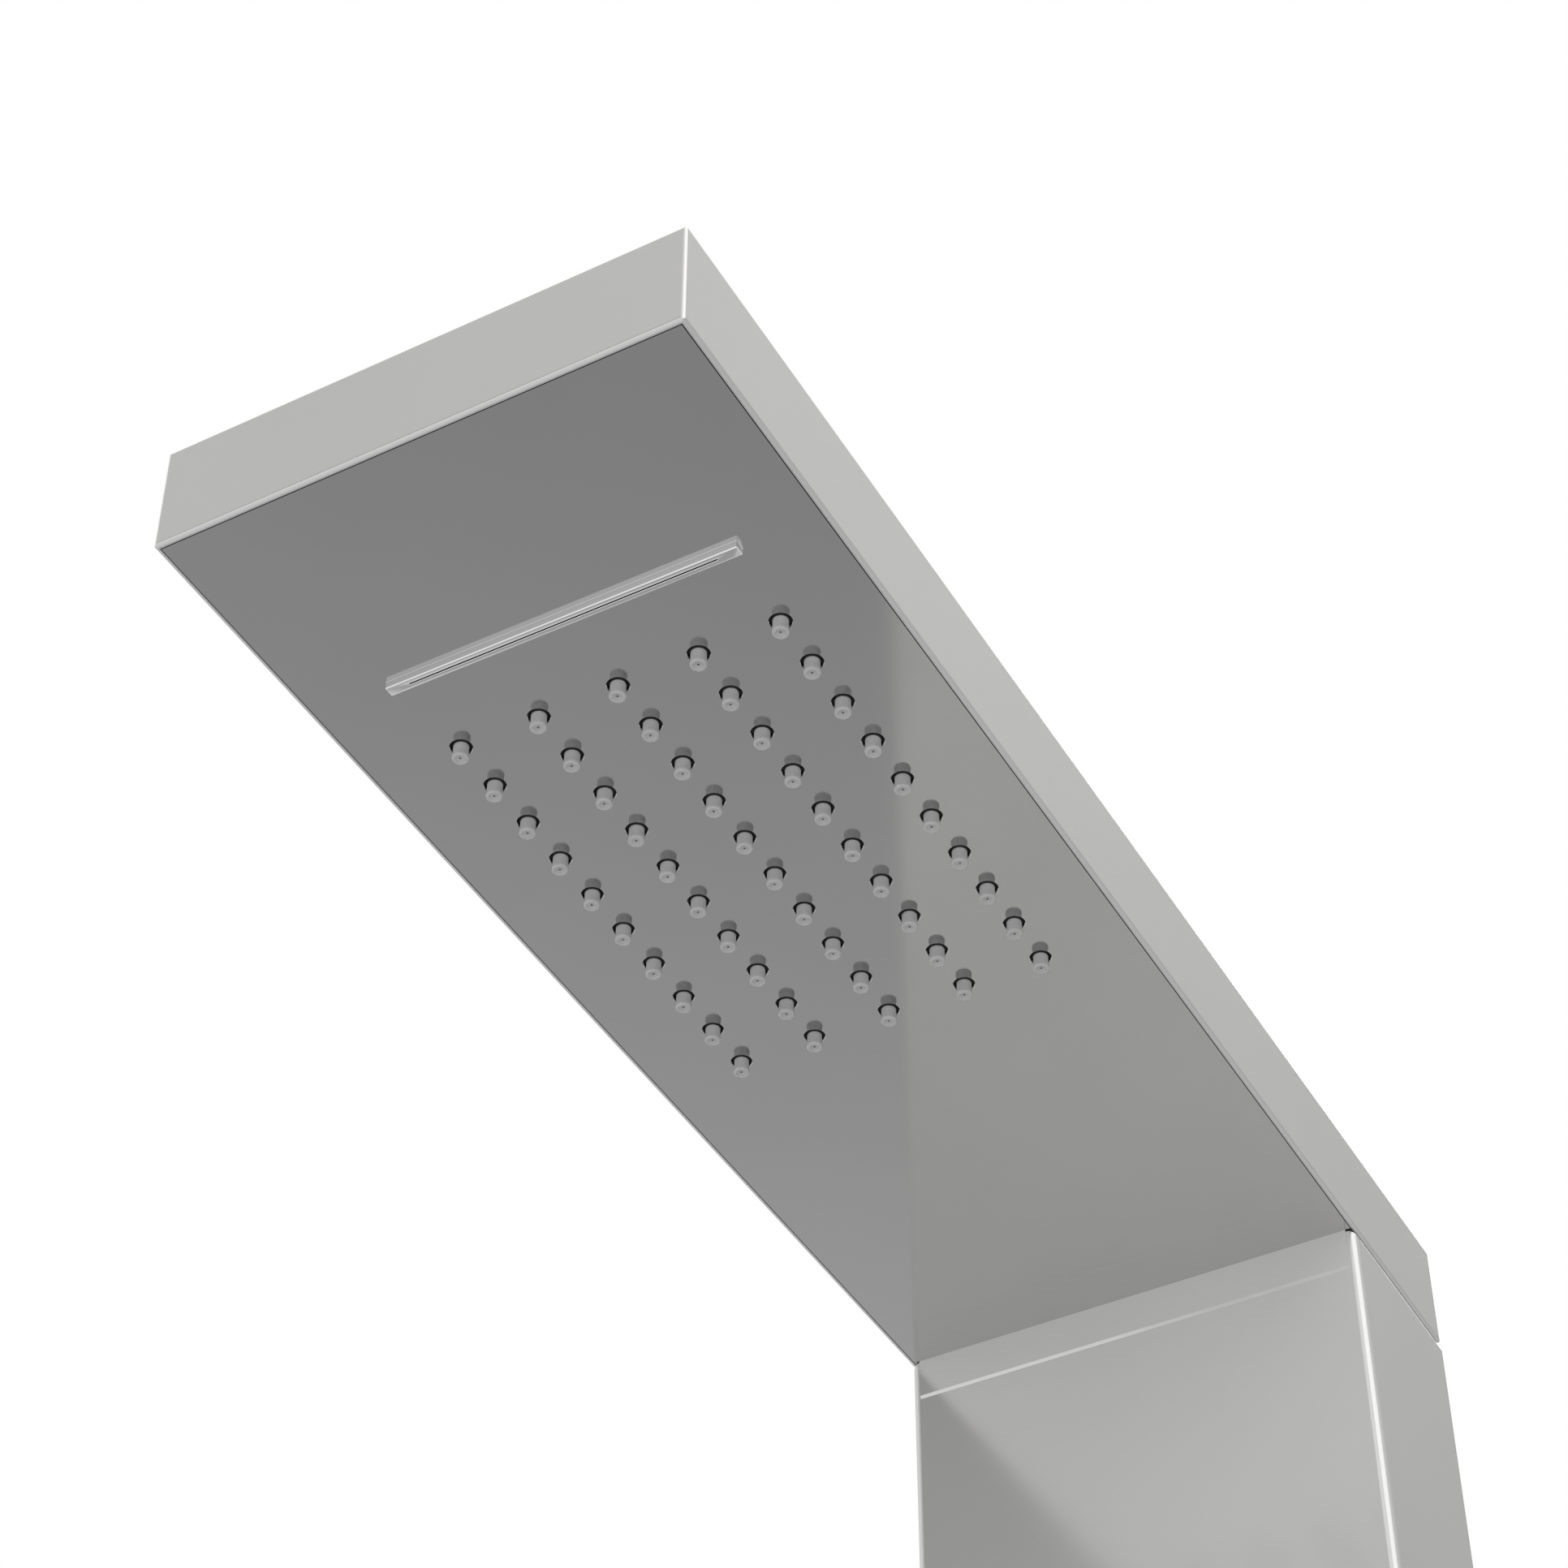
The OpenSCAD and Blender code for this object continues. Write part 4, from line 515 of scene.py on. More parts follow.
def edit_piece(piece, kind="FACE"):
    """Goes into edit mode on one piece with nothing selected."""
    start_piece()
    bpy.context.view_layer.objects.active = piece
    piece.select_set(True)
    bpy.ops.object.mode_set(mode="EDIT")
    bpy.ops.mesh.select_mode(type=kind)
    bpy.ops.mesh.select_all(action="DESELECT")


def pick_faces(piece, test):
    """Selects the faces whose middle and normal pass the test."""
    mesh = bmesh.from_edit_mesh(piece.data)
    found = 0
    for face in mesh.faces:
        chosen = bool(test(face.calc_center_median(), face.normal))
        face.select_set(chosen)
        found += chosen
    bmesh.update_edit_mesh(piece.data)
    if not found:
        raise RuntimeError(f"no face of {piece.name} passes the test")


def finish_piece(piece, name, smooth=40.0):
    """Closes the piece: place into the mesh, faces outwards, smooth where round."""
    edit_piece(piece)
    bpy.ops.mesh.select_all(action="SELECT")
    bpy.ops.mesh.remove_doubles(threshold=0.000001)
    bpy.ops.mesh.normals_make_consistent(inside=False)
    leave_edit()
    start_piece()
    bpy.context.view_layer.objects.active = piece
    piece.select_set(True)
    bpy.ops.object.transform_apply(location=True, rotation=True, scale=True)
    bpy.ops.object.shade_smooth_by_angle(angle=math.radians(smooth))
    piece.name = name
    piece.data.name = name
    return piece


def turned(name, rings, sides=48, through=False):
    """Turns a piece round Z: a disc is added, and each ring is extruded and resized.

    rings holds (radius, height) in millimetres; a bored piece ends on its first ring.
    """
    start_piece()
    radius, height = rings[0]
    bpy.ops.mesh.primitive_circle_add(
        vertices=sides, radius=radius * MM, fill_type="NGON", location=(0.0, 0.0, 0.0))
    piece = bpy.context.object
    bpy.ops.object.mode_set(mode="EDIT")
    bpy.ops.mesh.select_mode(type="FACE")
    bpy.ops.mesh.select_all(action="SELECT")
    bpy.ops.transform.translate(value=(0.0, 0.0, height * MM))
    for next_radius, next_height in rings[1:]:
        bpy.ops.mesh.extrude_region_move(
            TRANSFORM_OT_translate={"value": (0.0, 0.0, (next_height - height) * MM)})
        factor = next_radius / radius
        bpy.ops.transform.resize(value=(factor, factor, 1.0), center_override=(0.0, 0.0, next_height * MM))
        radius, height = next_radius, next_height
    if through:
        mesh = bmesh.from_edit_mesh(piece.data)
        for face in mesh.faces:
            face.select_set(len(face.verts) > 4)
        bmesh.update_edit_mesh(piece.data)
        bpy.ops.mesh.delete(type="ONLY_FACE")
        bpy.ops.mesh.select_all(action="SELECT")
        bpy.ops.mesh.remove_doubles(threshold=0.000001)
    leave_edit()
    piece.name = name
    return piece


def turn_to(piece, matrix):
    """Places a piece by a matrix in metres and puts the place into its mesh."""
    start_piece()
    bpy.context.view_layer.objects.active = piece
    piece.select_set(True)
    piece.matrix_world = matrix
    bpy.ops.object.transform_apply(location=True, rotation=True, scale=True)
    return piece


def copy_piece(piece, name):
    """A copy with a mesh of its own."""
    made = piece.copy()
    made.data = piece.data.copy()
    made.name = name
    bpy.context.scene.collection.objects.link(made)
    return made


def join_pieces(pieces, name):
    """Joins the pieces into the first of them."""
    start_piece()
    for piece in pieces:
        piece.select_set(True)
    bpy.context.view_layer.objects.active = pieces[0]
    bpy.ops.object.join()
    made = bpy.context.object
    made.name = name
    return made


def cut_away(piece, cutters):
    """Takes the cutters' shape out of the piece."""
    tool = join_pieces(cutters, "cutter") if len(cutters) > 1 else cutters[0]
    start_piece()
    bpy.context.view_layer.objects.active = piece
    piece.select_set(True)
    cut = piece.modifiers.new("Cut", "BOOLEAN")
    cut.operation = "DIFFERENCE"
    cut.solver = "EXACT"
    cut.object = tool
    bpy.ops.object.modifier_apply(modifier=cut.name)
    bpy.data.objects.remove(tool)
    return piece


def soften(piece, width, angle=35.0, segments=3):
    """Rounds the piece's sharp edges."""
    start_piece()
    bpy.context.view_layer.objects.active = piece
    piece.select_set(True)
    rounding = piece.modifiers.new("Rounding", "BEVEL")
    rounding.width = width * MM
    rounding.segments = segments
    rounding.limit_method = "ANGLE"
    rounding.angle_limit = math.radians(angle)
    rounding.use_clamp_overlap = True
    bpy.ops.object.modifier_apply(modifier=rounding.name)
    return piece


def block(name, low, high):
    """A block between two corners in millimetres, to be shaped further."""
    start_piece()
    size = [(b - a) * MM for a, b in zip(low, high)]
    middle = [(a + b) / 2 * MM for a, b in zip(low, high)]
    bpy.ops.mesh.primitive_cube_add(size=1.0, location=middle)
    piece = bpy.context.object
    piece.scale = size
    bpy.ops.object.transform_apply(location=True, rotation=True, scale=True)
    piece.name = name
    return piece


def stud_hole(x, y, low, high):
    """The cutter for a welded stud's hole, between two heights."""
    cutter = turned("stud_hole", [(STUD_HOLE_R, low), (STUD_HOLE_R, high)], 20)
    return turn_to(cutter, Matrix.Translation((x * MM, y * MM, 0.0)))


def spout_block(name, half_x, half_y, low, high):
    """A block round the waterfall's middle, between two heights."""
    return block(name, (-half_x, SPOUT_Y - half_y, low), (half_x, SPOUT_Y + half_y, high))


def dress(piece, body, finish, slot, *nodes):
    """Gives a finished piece its material and its body, and hides the frame nodes that it stands for. The
    slot is not used.
    """
    piece.data.materials.clear()
    piece.data.materials.append(finish)
    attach(piece, body)
    if nodes:
        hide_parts(*nodes)


def out_of_front(x, z, turn=0.0):
    """Z of the piece points out of the column's front, its Y points up."""
    return (Matrix.Translation((x * MM, FRONT * MM, z * MM)) @ Matrix.Rotation(math.radians(90), 4, "X")
            @ Matrix.Rotation(math.radians(turn), 4, "Z"))


def helix_ridge(name, radius, start, end, pitch, depth, sides=40):
    """A thread's ridge round Z: a small outline is screwed up by a modifier and closed at its ends."""
    start_piece()
    turns = (end - start) / pitch
    bpy.ops.mesh.primitive_circle_add(vertices=4, radius=1.0, fill_type="NOTHING")
    piece = bpy.context.object
    outline = [(-0.3, -0.44), (depth, -0.09), (depth, 0.09), (-0.3, 0.44)]
    for vertex, (out, up) in zip(piece.data.vertices, outline):
        vertex.co = Vector(((radius - depth + out) * MM, 0.0, (start + up * pitch) * MM))
    screw = piece.modifiers.new("Screw", "SCREW")
    screw.axis = "Z"
    screw.angle = 2 * math.pi * turns
    screw.screw_offset = (end - start) * MM
    screw.steps = screw.render_steps = int(sides * turns)
    screw.use_merge_vertices = False
    bpy.ops.object.modifier_apply(modifier=screw.name)
    edit_piece(piece, "EDGE")
    bpy.ops.mesh.select_non_manifold()
    bpy.ops.mesh.fill()
    leave_edit()
    piece.name = name
    return piece


def soft_copy(node, width, angle=30.0):
    """A copy of a frame part, merged, with its sharp edges rounded."""
    start_piece()
    piece = bpy.data.objects.new(node + "_look", frame["nodes"][node].data.copy())
    bpy.context.scene.collection.objects.link(piece)
    edit_piece(piece)
    bpy.ops.mesh.select_all(action="SELECT")
    bpy.ops.mesh.remove_doubles(threshold=0.000002)
    bpy.ops.mesh.dissolve_limited(angle_limit=math.radians(0.5))
    leave_edit()
    soften(piece, width, angle, 2)
    return finish_piece(piece, node + "_look", 32.0)


def figures(body, size, height):
    """A number as a closed mesh, centred on the origin."""
    start_piece()
    bpy.ops.object.text_add(location=(0.0, 0.0, 0.0))
    text = bpy.context.object
    text.data.body = body
    text.data.size = size * MM
    text.data.extrude = height * MM / 2
    text.data.align_x = "CENTER"
    text.data.align_y = "CENTER"
    bpy.ops.object.convert(target="MESH")
    return bpy.context.object


# Operators

class PANEL_OT_finishes(bpy.types.Operator):
    """Makes the panel's finishes and puts them on the frame's parts"""
    bl_idname = "shower_panel.finishes"
    bl_label = "Finishes"

    def execute(self, context):
        tones = context.scene.panel_tones
        sizes = context.scene.panel_pieces
        made = FINISHES
        made["column"] = sheet_steel(
            "column_steel", tones.steel, sizes.satin, (3000.0, 3000.0, 60.0), SHEET_METAL)
        made["head"] = sheet_steel(
            "head_steel", tones.steel, sizes.satin, (3000.0, 60.0, 3000.0), SHEET_METAL, tones.plate)
        made["plate"] = sheet_steel(
            "polished_plate", tones.plate, sizes.polish, (3000.0, 60.0, 3000.0), paint_hole_shade=True)
        made["blade"] = sheet_steel("blade_steel", tones.blade, sizes.polish, (60.0, 3000.0, 3000.0))
        made["chrome"] = chrome_plate("bright_chrome", tones.chrome, 0.07)
        made["brass"] = turned_brass("valve_brass", tones.brass)
        made["fixing"] = zinc_steel("zinc_fixings", (0.42, 0.42, 0.43))
        made["silicone"] = soft_silicone("nozzle_silicone", tones.silicone)
        made["rubber"] = black_rubber("seal_rubber", tones.rubber)
        made["plastic"] = moulded_plastic("cover_plastic", tones.plastic, 0.38)
        made["ceramic"] = fired_ceramic("disc_ceramic")
        made["button"] = moulded_plastic("button_plastic", tones.button, 0.28)
        made["ink"] = enamel("mark_ink", (0.03, 0.03, 0.032))
        made["hot"] = enamel("hot_ink", (0.50, 0.02, 0.015))
        by_slot = {
            "panel_steel": "column", "fixing_steel": "fixing", "chrome": "chrome", "brass": "brass",
            "nozzle_silicone": "silicone", "black_rubber": "rubber", "grey_plastic": "plastic",
            "ceramic": "ceramic", "red_plastic": "button",
        }
        own = {"head_shell": "head", "head_plate": "plate", "waterfall_spout": "plate"}
        slot_of = {part["node"]: part["material_slot"] for part in frame["record"]["subparts"]}
        for node, part in frame["nodes"].items():
            key = own.get(node) or by_slot[slot_of[node]]
            for place in part.material_slots:
                place.material = made[key]
            if not part.material_slots:
                raise RuntimeError(f"{node} has no material slot")
        return {"FINISHED"}


class PANEL_OT_rain_mat(bpy.types.Operator):
    """Models the silicone mat with its soft round-lipped nozzles"""
    bl_idname = "shower_panel.rain_mat"
    bl_label = "Rain mat"

    def execute(self, context):
        nozzles = self.nozzles(context.scene.panel_pieces.nozzle_sides)
        piece = finish_piece(join_pieces([self.mat()] + nozzles, "rain_mat"), "rain_mat", 38.0)
        dress(piece, "panel", FINISHES["silicone"], "nozzle_silicone", "nozzle_mat")
        return {"FINISHED"}

    def nozzles(self, sides):
        """One nozzle is turned, bored through and copied to each of its places."""
        tip = HEAD_UNDER - NOZZLE_OUT
        neck, lip, cup, bore = 1.95, 2.12, 1.3, 0.3
        root = neck + 0.35
        first = turned("nozzle", [
            (bore, MAT_TOP), (root, MAT_TOP), (root, HEAD_UNDER + 0.9), (neck, HEAD_UNDER + 0.3),
            (neck, tip + 1.9), (neck + 0.08, tip + 1.3), (lip - 0.02, tip + 0.8), (lip, tip + 0.45),
            (lip - 0.08, tip + 0.18), (lip - 0.26, tip + 0.04), (lip - 0.5, tip), (cup + 0.12, tip + 0.03),
            (cup, tip + 0.1), (cup - 0.2, tip + 0.24), (bore + 0.2, tip + 0.3), (bore, tip + 0.45),
            (bore, MAT_TOP)], sides, through=True)
        across, along = NOZZLE_COUNT
        made = []
        for i in range(across):
            for j in range(along):
                x = (i - (across - 1) / 2) * NOZZLE_PITCH[0]
                y = middle("nozzle_mat", Y) + (j - (along - 1) / 2) * NOZZLE_PITCH[1]
                nozzle = copy_piece(first, f"nozzle_{i}_{j}")
                made.append(turn_to(nozzle, Matrix.Translation((x * MM, y * MM, 0.0))))
        bpy.data.objects.remove(first)
        return made

    def mat(self):
        """The flat mat, with holes for the plate's welded studs."""
        end_x, near_y, far_y = highest("nozzle_mat", X), lowest("nozzle_mat", Y), highest("nozzle_mat", Y)
        mat = block("mat", (-end_x, near_y, PLATE_TOP), (end_x, far_y, MAT_TOP - 0.05))
        soften(mat, 0.3)
        half_x, half_y = end_x - STUD_INSET, (far_y - near_y) / 2 - STUD_INSET
        places = [(sx * half_x, sy * (half_y - STUD_CORNER)) for sx in (-1, 1) for sy in (-1, 0, 1)]
        places += [(0.0, -half_y), (0.0, half_y)]
        mid_y = middle("nozzle_mat", Y)
        return cut_away(mat, [stud_hole(x, mid_y + y, PLATE_TOP - 2.0, MAT_TOP + 2.0) for x, y in places])


class PANEL_OT_waterfall(bpy.types.Operator):
    """Models the waterfall blade with its soft edges and flared slit"""
    bl_idname = "shower_panel.waterfall"
    bl_label = "Waterfall blade"

    def execute(self, context):
        half_x = highest("waterfall_spout", X)
        half_y = highest("waterfall_spout", Y) - SPOUT_Y
        foot, pad, top = HEAD_UNDER - BLADE_OUT, PLATE_TOP + 1.0, highest("waterfall_spout", Z)
        blade = spout_block("blade", BLADE[0], BLADE[1], foot, pad + 0.75)
        soften(blade, 0.32, segments=4)
        flange = spout_block("flange", half_x, half_y, pad, top)
        soften(flange, 0.25)
        root = spout_block("root", BLADE[0] + ROOT, BLADE[1] + ROOT, HEAD_UNDER + 0.03, pad)
        soften(root, 0.02, segments=1)
        slit = self.slit(foot)
        cut_away(flange, [copy_piece(slit, "flange_slit")])
        cut_away(root, [copy_piece(slit, "root_slit")])
        cut_away(blade, [slit])
        stud_x = half_x - STUD_INSET
        cut_away(flange, [stud_hole(x, SPOUT_Y, pad - 1.0, pad + 3.0) for x in (-stud_x, stud_x)])
        piece = finish_piece(join_pieces([blade, root, flange], "waterfall_blade"), "waterfall_blade", 30.0)
        dress(piece, "panel", FINISHES["blade"], "panel_steel", "waterfall_spout")
        return {"FINISHED"}

    def slit(self, foot):
        """The cutter for the slit: a wide mouth at the foot, which narrows to the slit above it."""
        neck, reach = foot + 0.12, 8.0
        slit = spout_block("slit", SLIT[0], SLIT[1], foot - 0.1, neck)
        edit_piece(slit)
        pick_faces(slit, lambda place, normal: normal.z > 0.9)
        bpy.ops.transform.resize(
            value=(0.995, 0.27, 1.0), center_override=(0.0, SPOUT_Y * MM, neck * MM))
        bpy.ops.mesh.extrude_region_move(TRANSFORM_OT_translate={"value": (0.0, 0.0, reach * MM)})
        leave_edit()
        return slit


class PANEL_OT_hose_ends(bpy.types.Operator):
    """Models the inlet nipples and the hose elbow with their pipe threads"""
    bl_idname = "shower_panel.hose_ends"
    bl_label = "Hose ends"

    def execute(self, context):
        sizes = context.scene.panel_pieces
        self.pitch, self.depth = sizes.thread_pitch / MM, sizes.thread_depth / MM
        self.root = THREAD_R - self.depth
        for name, x in (("hot", -INLET_X), ("cold", INLET_X)):
            piece = self.nipple(name)
            down = Matrix.Translation((x * MM, PIPE_Y * MM, THERMO_Z * MM)) @ Matrix.Rotation(math.pi, 4, "X")
            finish_piece(turn_to(piece, down), name + "_nipple", 30.0)
            nodes = ("inlet_nipples",) if name == "hot" else ()
            dress(piece, "panel", FINISHES["brass"], "brass", *nodes)
        elbow = finish_piece(self.elbow(), "hose_elbow", 30.0)
        dress(elbow, "panel", FINISHES["chrome"], "chrome", "hand_elbow")
        return {"FINISHED"}

    def nipple(self, name):
        """A threaded end with a cup for the washer and a hexagon behind the thread."""
        seat, hexagon, thread, tip = 25.0, 36.0, 44.0, 58.0
        cup, flat, corner, inner, chamfer = 8.56, 13.0, 13.84, 9.0, 0.7
        core = turned(name, [
            (BORE, seat), (THREAD_R - 0.03, seat), (THREAD_R - 0.03, thread), (self.root, thread + 0.3),
            (self.root, tip - 0.5), (self.root - 0.4, tip), (cup, tip), (cup, tip - 2.0),
            (BORE, tip - 2.0), (BORE, seat)], through=True)
        flats = turned("flats", [
            (inner, hexagon), (flat, hexagon), (corner, hexagon + chamfer), (corner, thread - chamfer),
            (flat, thread), (inner, thread), (inner, hexagon)], 6, through=True)
        ridge = helix_ridge("ridge", THREAD_R, thread + 1.0, tip - 1.2, self.pitch, self.depth)
        return join_pieces([core, flats, ridge], name)

    def elbow(self):
        """A shank through the front with its rosette, a round bend, and a leg that hangs down."""
        body, reach, back, rosette = 12.0, 24.0, -20.0, 16.0
        collar, leg_thread, leg_end = 14.0, 14.2, 28.0
        shank = turned("shank", [
            (BORE, back), (self.root - 0.3, back), (self.root, back + 0.6), (self.root, -0.8), (10.3, 0.0),
            (rosette - 0.8, 0.0), (rosette, 0.8), (rosette, 4.4), (rosette - 0.4, 5.3),
            (rosette - 1.2, 5.9), (rosette - 2.0, 6.0), (body + 0.6, 6.0), (body + 0.1, 6.2),
            (body, 6.8), (body, reach), (BORE, reach), (BORE, back)], through=True)
        inner = helix_ridge("inner_ridge", THREAD_R, back + 1.0, -1.4, self.pitch, self.depth)
        bend = turned("bend", [
            (body * math.cos(math.radians(a)), reach + body * math.sin(math.radians(a)))
            for a in range(-80, 81, 10)])
        leg = turned("leg", [
            (BORE, 3.0), (body - 0.3, 3.0), (body, 9.0), (body, collar - 1.0), (body - 0.8, collar),
            (self.root, leg_thread), (self.root, leg_end - 0.6), (self.root - 0.5, leg_end),
            (BORE + 0.5, leg_end), (BORE, leg_end - 0.5), (BORE, 3.0)], through=True)
        outer = helix_ridge("outer_ridge", THREAD_R, collar + 1.0, leg_end - 1.2, self.pitch, self.depth)
        place = out_of_front(0.0, HOSE_Z)
        down = place @ Matrix.Translation((0.0, 0.0, reach * MM)) @ Matrix.Rotation(math.pi / 2, 4, "X")
        parts = [turn_to(part, place) for part in (shank, inner, bend)]
        parts += [turn_to(part, down) for part in (leg, outer)]
        return join_pieces(parts, "hose_elbow")


class PANEL_OT_soft_edges(bpy.types.Operator):
    """Models the cradle, jet frames, rails and wall brackets with rounded edges"""
    bl_idname = "shower_panel.soft_edges"
    bl_label = "Soft edges"

    def execute(self, context):
        for node, body, finish, slot, width in (
            ("cradle", "handset_cradle", "chrome", "chrome", 0.7),
            ("jet_frames", "panel", "chrome", "chrome", 0.6),
            ("hand_nut", "panel", "brass", "brass", 0.4),
            ("upper_rail", "panel", "fixing", "fixing_steel", 0.25),
            ("lower_rail", "panel", "fixing", "fixing_steel", 0.25),
            ("upper_wall_bracket", "panel", "fixing", "fixing_steel", 0.3),
            ("lower_wall_bracket", "panel", "fixing", "fixing_steel", 0.3),
        ):
            dress(soft_copy(node, width), body, FINISHES[finish], slot, node)
        return {"FINISHED"}


class PANEL_OT_cap_screws(bpy.types.Operator):
    """Models the bottom cap's countersunk screws with their cross recesses"""
    bl_idname = "shower_panel.cap_screws"
    bl_label = "Cap screws"

    def execute(self, context):
        screw = self.screw()
        screws = []
        for side in (-1, 1):
            for y in CAP_SCREW_YS:
                place = (Matrix.Translation((side * SIDE * MM, y * MM, CAP_SCREW_Z * MM))
                         @ Matrix.Rotation(-side * math.pi / 2, 4, "Y") @ Matrix.Rotation(0.3 * y, 4, "Z"))
                screws.append(turn_to(copy_piece(screw, "cap_screw"), place))
        bpy.data.objects.remove(screw)
        piece = finish_piece(join_pieces(screws, "cap_screw_heads"), "cap_screw_heads", 30.0)
        dress(piece, "panel", FINISHES["fixing"], "fixing_steel", "cap_screws")
        return {"FINISHED"}

    def screw(self):
        """A countersunk screw, with its head at zero height and its cross cut by two tapered arms."""
        shank, head, head_depth, length = 1.5, 2.86, 1.2, 7.0
        screw = turned("screw", [
            (0.6, 0.05), (head - 0.36, 0.05), (head - 0.08, 0.12), (head, 0.22), (shank + 0.02, head_depth),
            (shank, head_depth + 0.1), (shank, length - 0.7), (shank - 0.4, length)], 32)
        reach, half, start = 1.7, 0.32, -0.5
        for across, along, depth in ((reach, half, 0.85), (half, reach, 0.8)):
            arm = block("arm", (-across, -along, start), (across, along, depth))
            edit_piece(arm)
            pick_faces(arm, lambda place, normal: normal.z > 0.9)
            bpy.ops.transform.resize(value=(0.45, 0.45, 1.0), center_override=(0.0, 0.0, 0.0))
            leave_edit()
            cut_away(screw, [arm])
        return screw


class PANEL_OT_marks(bpy.types.Operator):
    """Models the scales on the valve covers and the pointer on the temperature knob"""
    bl_idname = "shower_panel.marks"
    bl_label = "Marks"

    def execute(self, context):
        height = context.scene.panel_pieces.mark_height / MM
        ticks, hot = [], []
        for angle in range(-120, 91, 15):
            kind = "long" if angle in (-120, 0, 90) else "short"
            group = hot if angle > 0 else ticks
            group.append(self.tick(THERMO_Z, angle, kind, height))
        for body, angle in (("20", -120), ("38", 0), ("50", 90)):
            ticks.append(self.number(body, THERMO_Z, angle, height))
        for body, angle in (("0", 0), ("1", 72), ("2", 144), ("3", -144), ("4", -72)):
            ticks.append(self.number(body, DIVERTER_Z, angle, height))
            ticks.append(self.tick(DIVERTER_Z, angle, "long", height))
        piece = finish_piece(join_pieces(ticks, "scale_marks"), "scale_marks", 30.0)
        dress(piece, "panel", FINISHES["ink"], "grey_plastic")
        piece = finish_piece(join_pieces(hot, "hot_marks"), "hot_marks", 30.0)
        dress(piece, "panel", FINISHES["hot"], "red_plastic")
        near, far, half = POINTER
        line = block("pointer", (-half, near, KNOB_OUT), (half, far, KNOB_OUT + height))
        soften(line, 0.05, segments=2)
        finish_piece(turn_to(line, out_of_front(0.0, THERMO_Z)), "knob_pointer", 30.0)
        dress(line, "temperature", FINISHES["ink"], "grey_plastic")
        return {"FINISHED"}

    def tick(self, z, angle, kind, height):
        """A line on the rim of the cover at height z, turned to its angle."""
        near, width = TICKS[kind]
        line = block("tick", (-width / 2, near, COVER_OUT), (width / 2, TICK_END, COVER_OUT + height))
        soften(line, 0.04, segments=2)
        return turn_to(line, out_of_front(0.0, z, angle))

    def number(self, body, z, angle, height):
        """A number on the cover at height z, with its foot towards the axis."""
        text = figures(body, NUMBER_SIZE, height)
        turn = math.radians(angle)
        place = out_of_front(-NUMBER_R * math.sin(turn), z + NUMBER_R * math.cos(turn), angle)
        return turn_to(text, place @ Matrix.Translation((0.0, 0.0, (COVER_OUT + height / 2) * MM)))


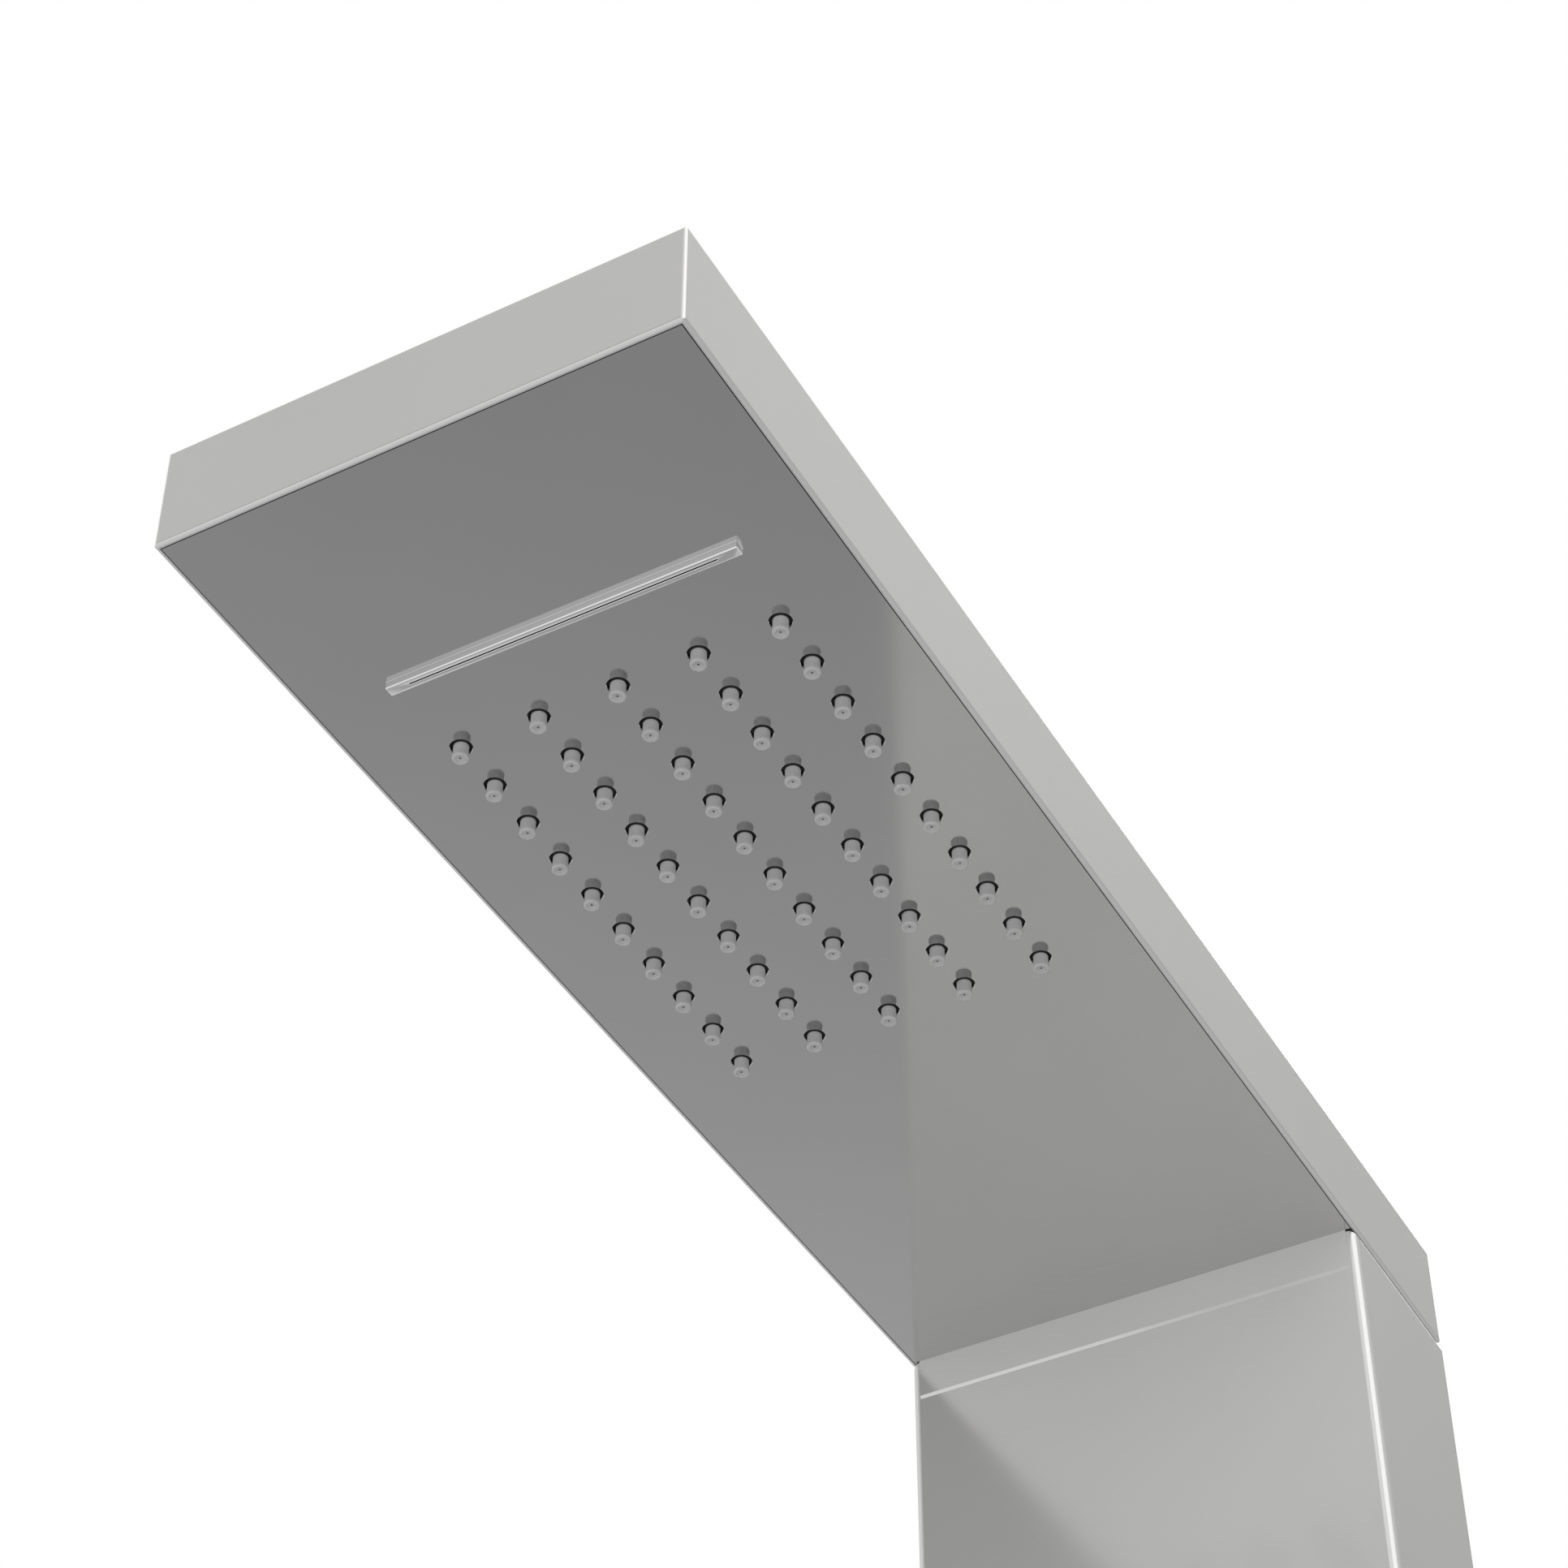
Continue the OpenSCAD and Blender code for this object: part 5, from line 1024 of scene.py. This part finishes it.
class PANEL_OT_stage(bpy.types.Operator):
    """Sets up the pale floor, the studio light and the camera"""
    bl_idname = "shower_panel.stage"
    bl_label = "Stage"

    def execute(self, context):
        studio = context.scene.panel_studio
        scene = context.scene
        scene.view_settings.view_transform = "Standard"
        self.camera(scene)
        self.floor(studio)
        self.world(scene)
        self.lamp("key", *KEY_LAMP, studio.key_level)
        self.lamp("rim", *RIM_LAMP, studio.rim_level)
        self.lamp("fill", *FILL_LAMP, studio.fill_level, mirrored=False)
        return {"FINISHED"}

    def camera(self, scene):
        """The photograph's camera, as solved from the head's edges."""
        data = bpy.data.cameras.new("camera")
        data.lens = LENS
        data.sensor_width = SENSOR
        data.clip_start = 0.05
        data.clip_end = 60.0
        camera = bpy.data.objects.new("camera", data)
        scene.collection.objects.link(camera)
        right, up = Vector(CAMERA_RIGHT), Vector(CAMERA_UP)
        turn = Matrix((right, up, right.cross(up))).transposed().to_4x4()
        camera.matrix_world = Matrix.Translation(CAMERA_PLACE) @ turn
        scene.camera = camera

    def floor(self, studio):
        """Pale paper that fades into the white background away from the panel, as the camera sees it."""
        start_piece()
        foot = CAD_BOX[0].z - studio.floor_gap
        bpy.ops.mesh.primitive_plane_add(size=14.0, location=(0.0, -0.2, foot))
        floor = bpy.context.object
        edit_piece(floor)
        bpy.ops.mesh.select_all(action="SELECT")
        bpy.ops.mesh.subdivide(number_cuts=6)
        finish_piece(floor, "floor")
        f = material("floor_paper")
        across, along, _ = f.axes(f.place())
        away = (across * across + along * along) ** 0.5
        paper = f.noise(f.place(), 60.0, 3.0)
        matt = f.node("ShaderNodeBsdfPrincipled", None, {
            "Base Color": f.blend(paper, (0.86, 0.86, 0.86, 1.0), (0.90, 0.90, 0.90, 1.0)), "Roughness": 0.9})
        white = f.node("ShaderNodeEmission", None, {"Color": (1.0, 1.0, 1.0, 1.0), "Strength": 1.0})
        mix = f.node("ShaderNodeMixShader", None, {"Fac": self.seen(f) * away.ramp(0.35, 1.5)})
        f.tree.links.new(matt.outputs[0], mix.inputs[1])
        f.tree.links.new(white.outputs[0], mix.inputs[2])
        out = f.node("ShaderNodeOutputMaterial")
        f.tree.links.new(mix.outputs[0], out.inputs[0])
        floor.data.materials.append(f.owner)
        floor.visible_glossy = False

    def world(self, scene):
        """White for the camera, and WORLD_TONE with its patches for the light and the mirror images."""
        f = Finish(scene.world or bpy.data.worlds.new("studio"))
        scene.world = f.owner
        x, y, z = f.axes(f.wire(f.node("ShaderNodeTexCoord"), "Generated"))

        def patch(toward, border, full):
            way = Vector(toward).normalized()
            return (x * way.x + y * way.y + z * way.z).ramp(border, full)

        # the wide dark patch, darkest at its foot
        depth = (z - 0.2 * y).ramp(-0.9, -0.6, 0.415, 0.745)
        tone = WORLD_TONE + patch(*DARK_PATCH) * (depth - WORLD_TONE)
        # brighter in front and darker to the right
        tone = tone + y.ramp(-0.9, -0.4, 0.12, 0.0) - x.ramp(0.2, 0.7, 0.0, 0.3)
        # darker behind, above the horizon
        tone = tone - (0.25 * y.ramp(0.1, 0.5) + 0.4 * y.ramp(0.55, 0.95)) * z.ramp(0.0, 0.3)
        for toward, border, full, change in PATCHES:
            tone = tone + change * patch(toward, border, full)
        seen = self.seen(f)
        level = seen + (1.0 - seen) * tone
        lit = f.node("ShaderNodeBackground", None, {"Color": (1.0, 1.0, 1.0, 1.0), "Strength": level})
        out = f.node("ShaderNodeOutputWorld")
        f.tree.links.new(lit.outputs[0], out.inputs[0])

    def seen(self, f):
        """1 for a ray that comes from the camera, also through a clear piece, and 0 for any other."""
        path = f.node("ShaderNodeLightPath")
        return f.wire(path, "Is Camera Ray").top(f.wire(path, "Is Transmission Ray"))

    def lamp(self, name, place, target, size, level, mirrored=True):
        """A square lamp whose face has a brightness, and which the metal mirrors or not."""
        data = bpy.data.lights.new(name, "AREA")
        data.shape = "SQUARE"
        data.size = size
        data.energy = math.pi * size * size * level
        lamp = bpy.data.objects.new(name, data)
        bpy.context.scene.collection.objects.link(lamp)
        lamp.location = place
        lamp.rotation_euler = (Vector(target) - Vector(place)).to_track_quat("-Z", "Y").to_euler()
        lamp.visible_camera = False
        lamp.visible_glossy = mirrored


class PANEL_PT_sidebar(bpy.types.Panel):
    """Lists the panel's pieces and its settings"""
    bl_idname = "PANEL_PT_sidebar"
    bl_label = "Shower panel"
    bl_space_type = "VIEW_3D"
    bl_region_type = "UI"
    bl_category = "Shower panel"

    def draw(self, context):
        layout = self.layout
        for group in ("panel_tones", "panel_pieces", "panel_studio"):
            settings = getattr(context.scene, group)
            box = layout.box()
            for name in settings.__annotations__:
                box.prop(settings, name)
        for operator in OPERATORS:
            layout.operator(operator.bl_idname)


OPERATORS = (
    PANEL_OT_finishes,
    PANEL_OT_rain_mat,
    PANEL_OT_waterfall,
    PANEL_OT_hose_ends,
    PANEL_OT_soft_edges,
    PANEL_OT_cap_screws,
    PANEL_OT_marks,
    PANEL_OT_stage,
)
CLASSES = (PanelToneSettings, PanelPieceSettings, PanelStudioSettings) + OPERATORS + (PANEL_PT_sidebar,)


def register():
    for cls in CLASSES:
        bpy.utils.register_class(cls)
    bpy.types.Scene.panel_tones = PointerProperty(type=PanelToneSettings)
    bpy.types.Scene.panel_pieces = PointerProperty(type=PanelPieceSettings)
    bpy.types.Scene.panel_studio = PointerProperty(type=PanelStudioSettings)


def unregister():
    del bpy.types.Scene.panel_studio
    del bpy.types.Scene.panel_pieces
    del bpy.types.Scene.panel_tones
    for cls in reversed(CLASSES):
        bpy.utils.unregister_class(cls)


def main():
    register()
    bpy.ops.shower_panel.finishes()
    bpy.ops.shower_panel.rain_mat()
    bpy.ops.shower_panel.waterfall()
    bpy.ops.shower_panel.hose_ends()
    bpy.ops.shower_panel.soft_edges()
    bpy.ops.shower_panel.cap_screws()
    bpy.ops.shower_panel.marks()
    bpy.ops.shower_panel.stage()
    leave_edit()


if __name__ == "__main__":
    main()
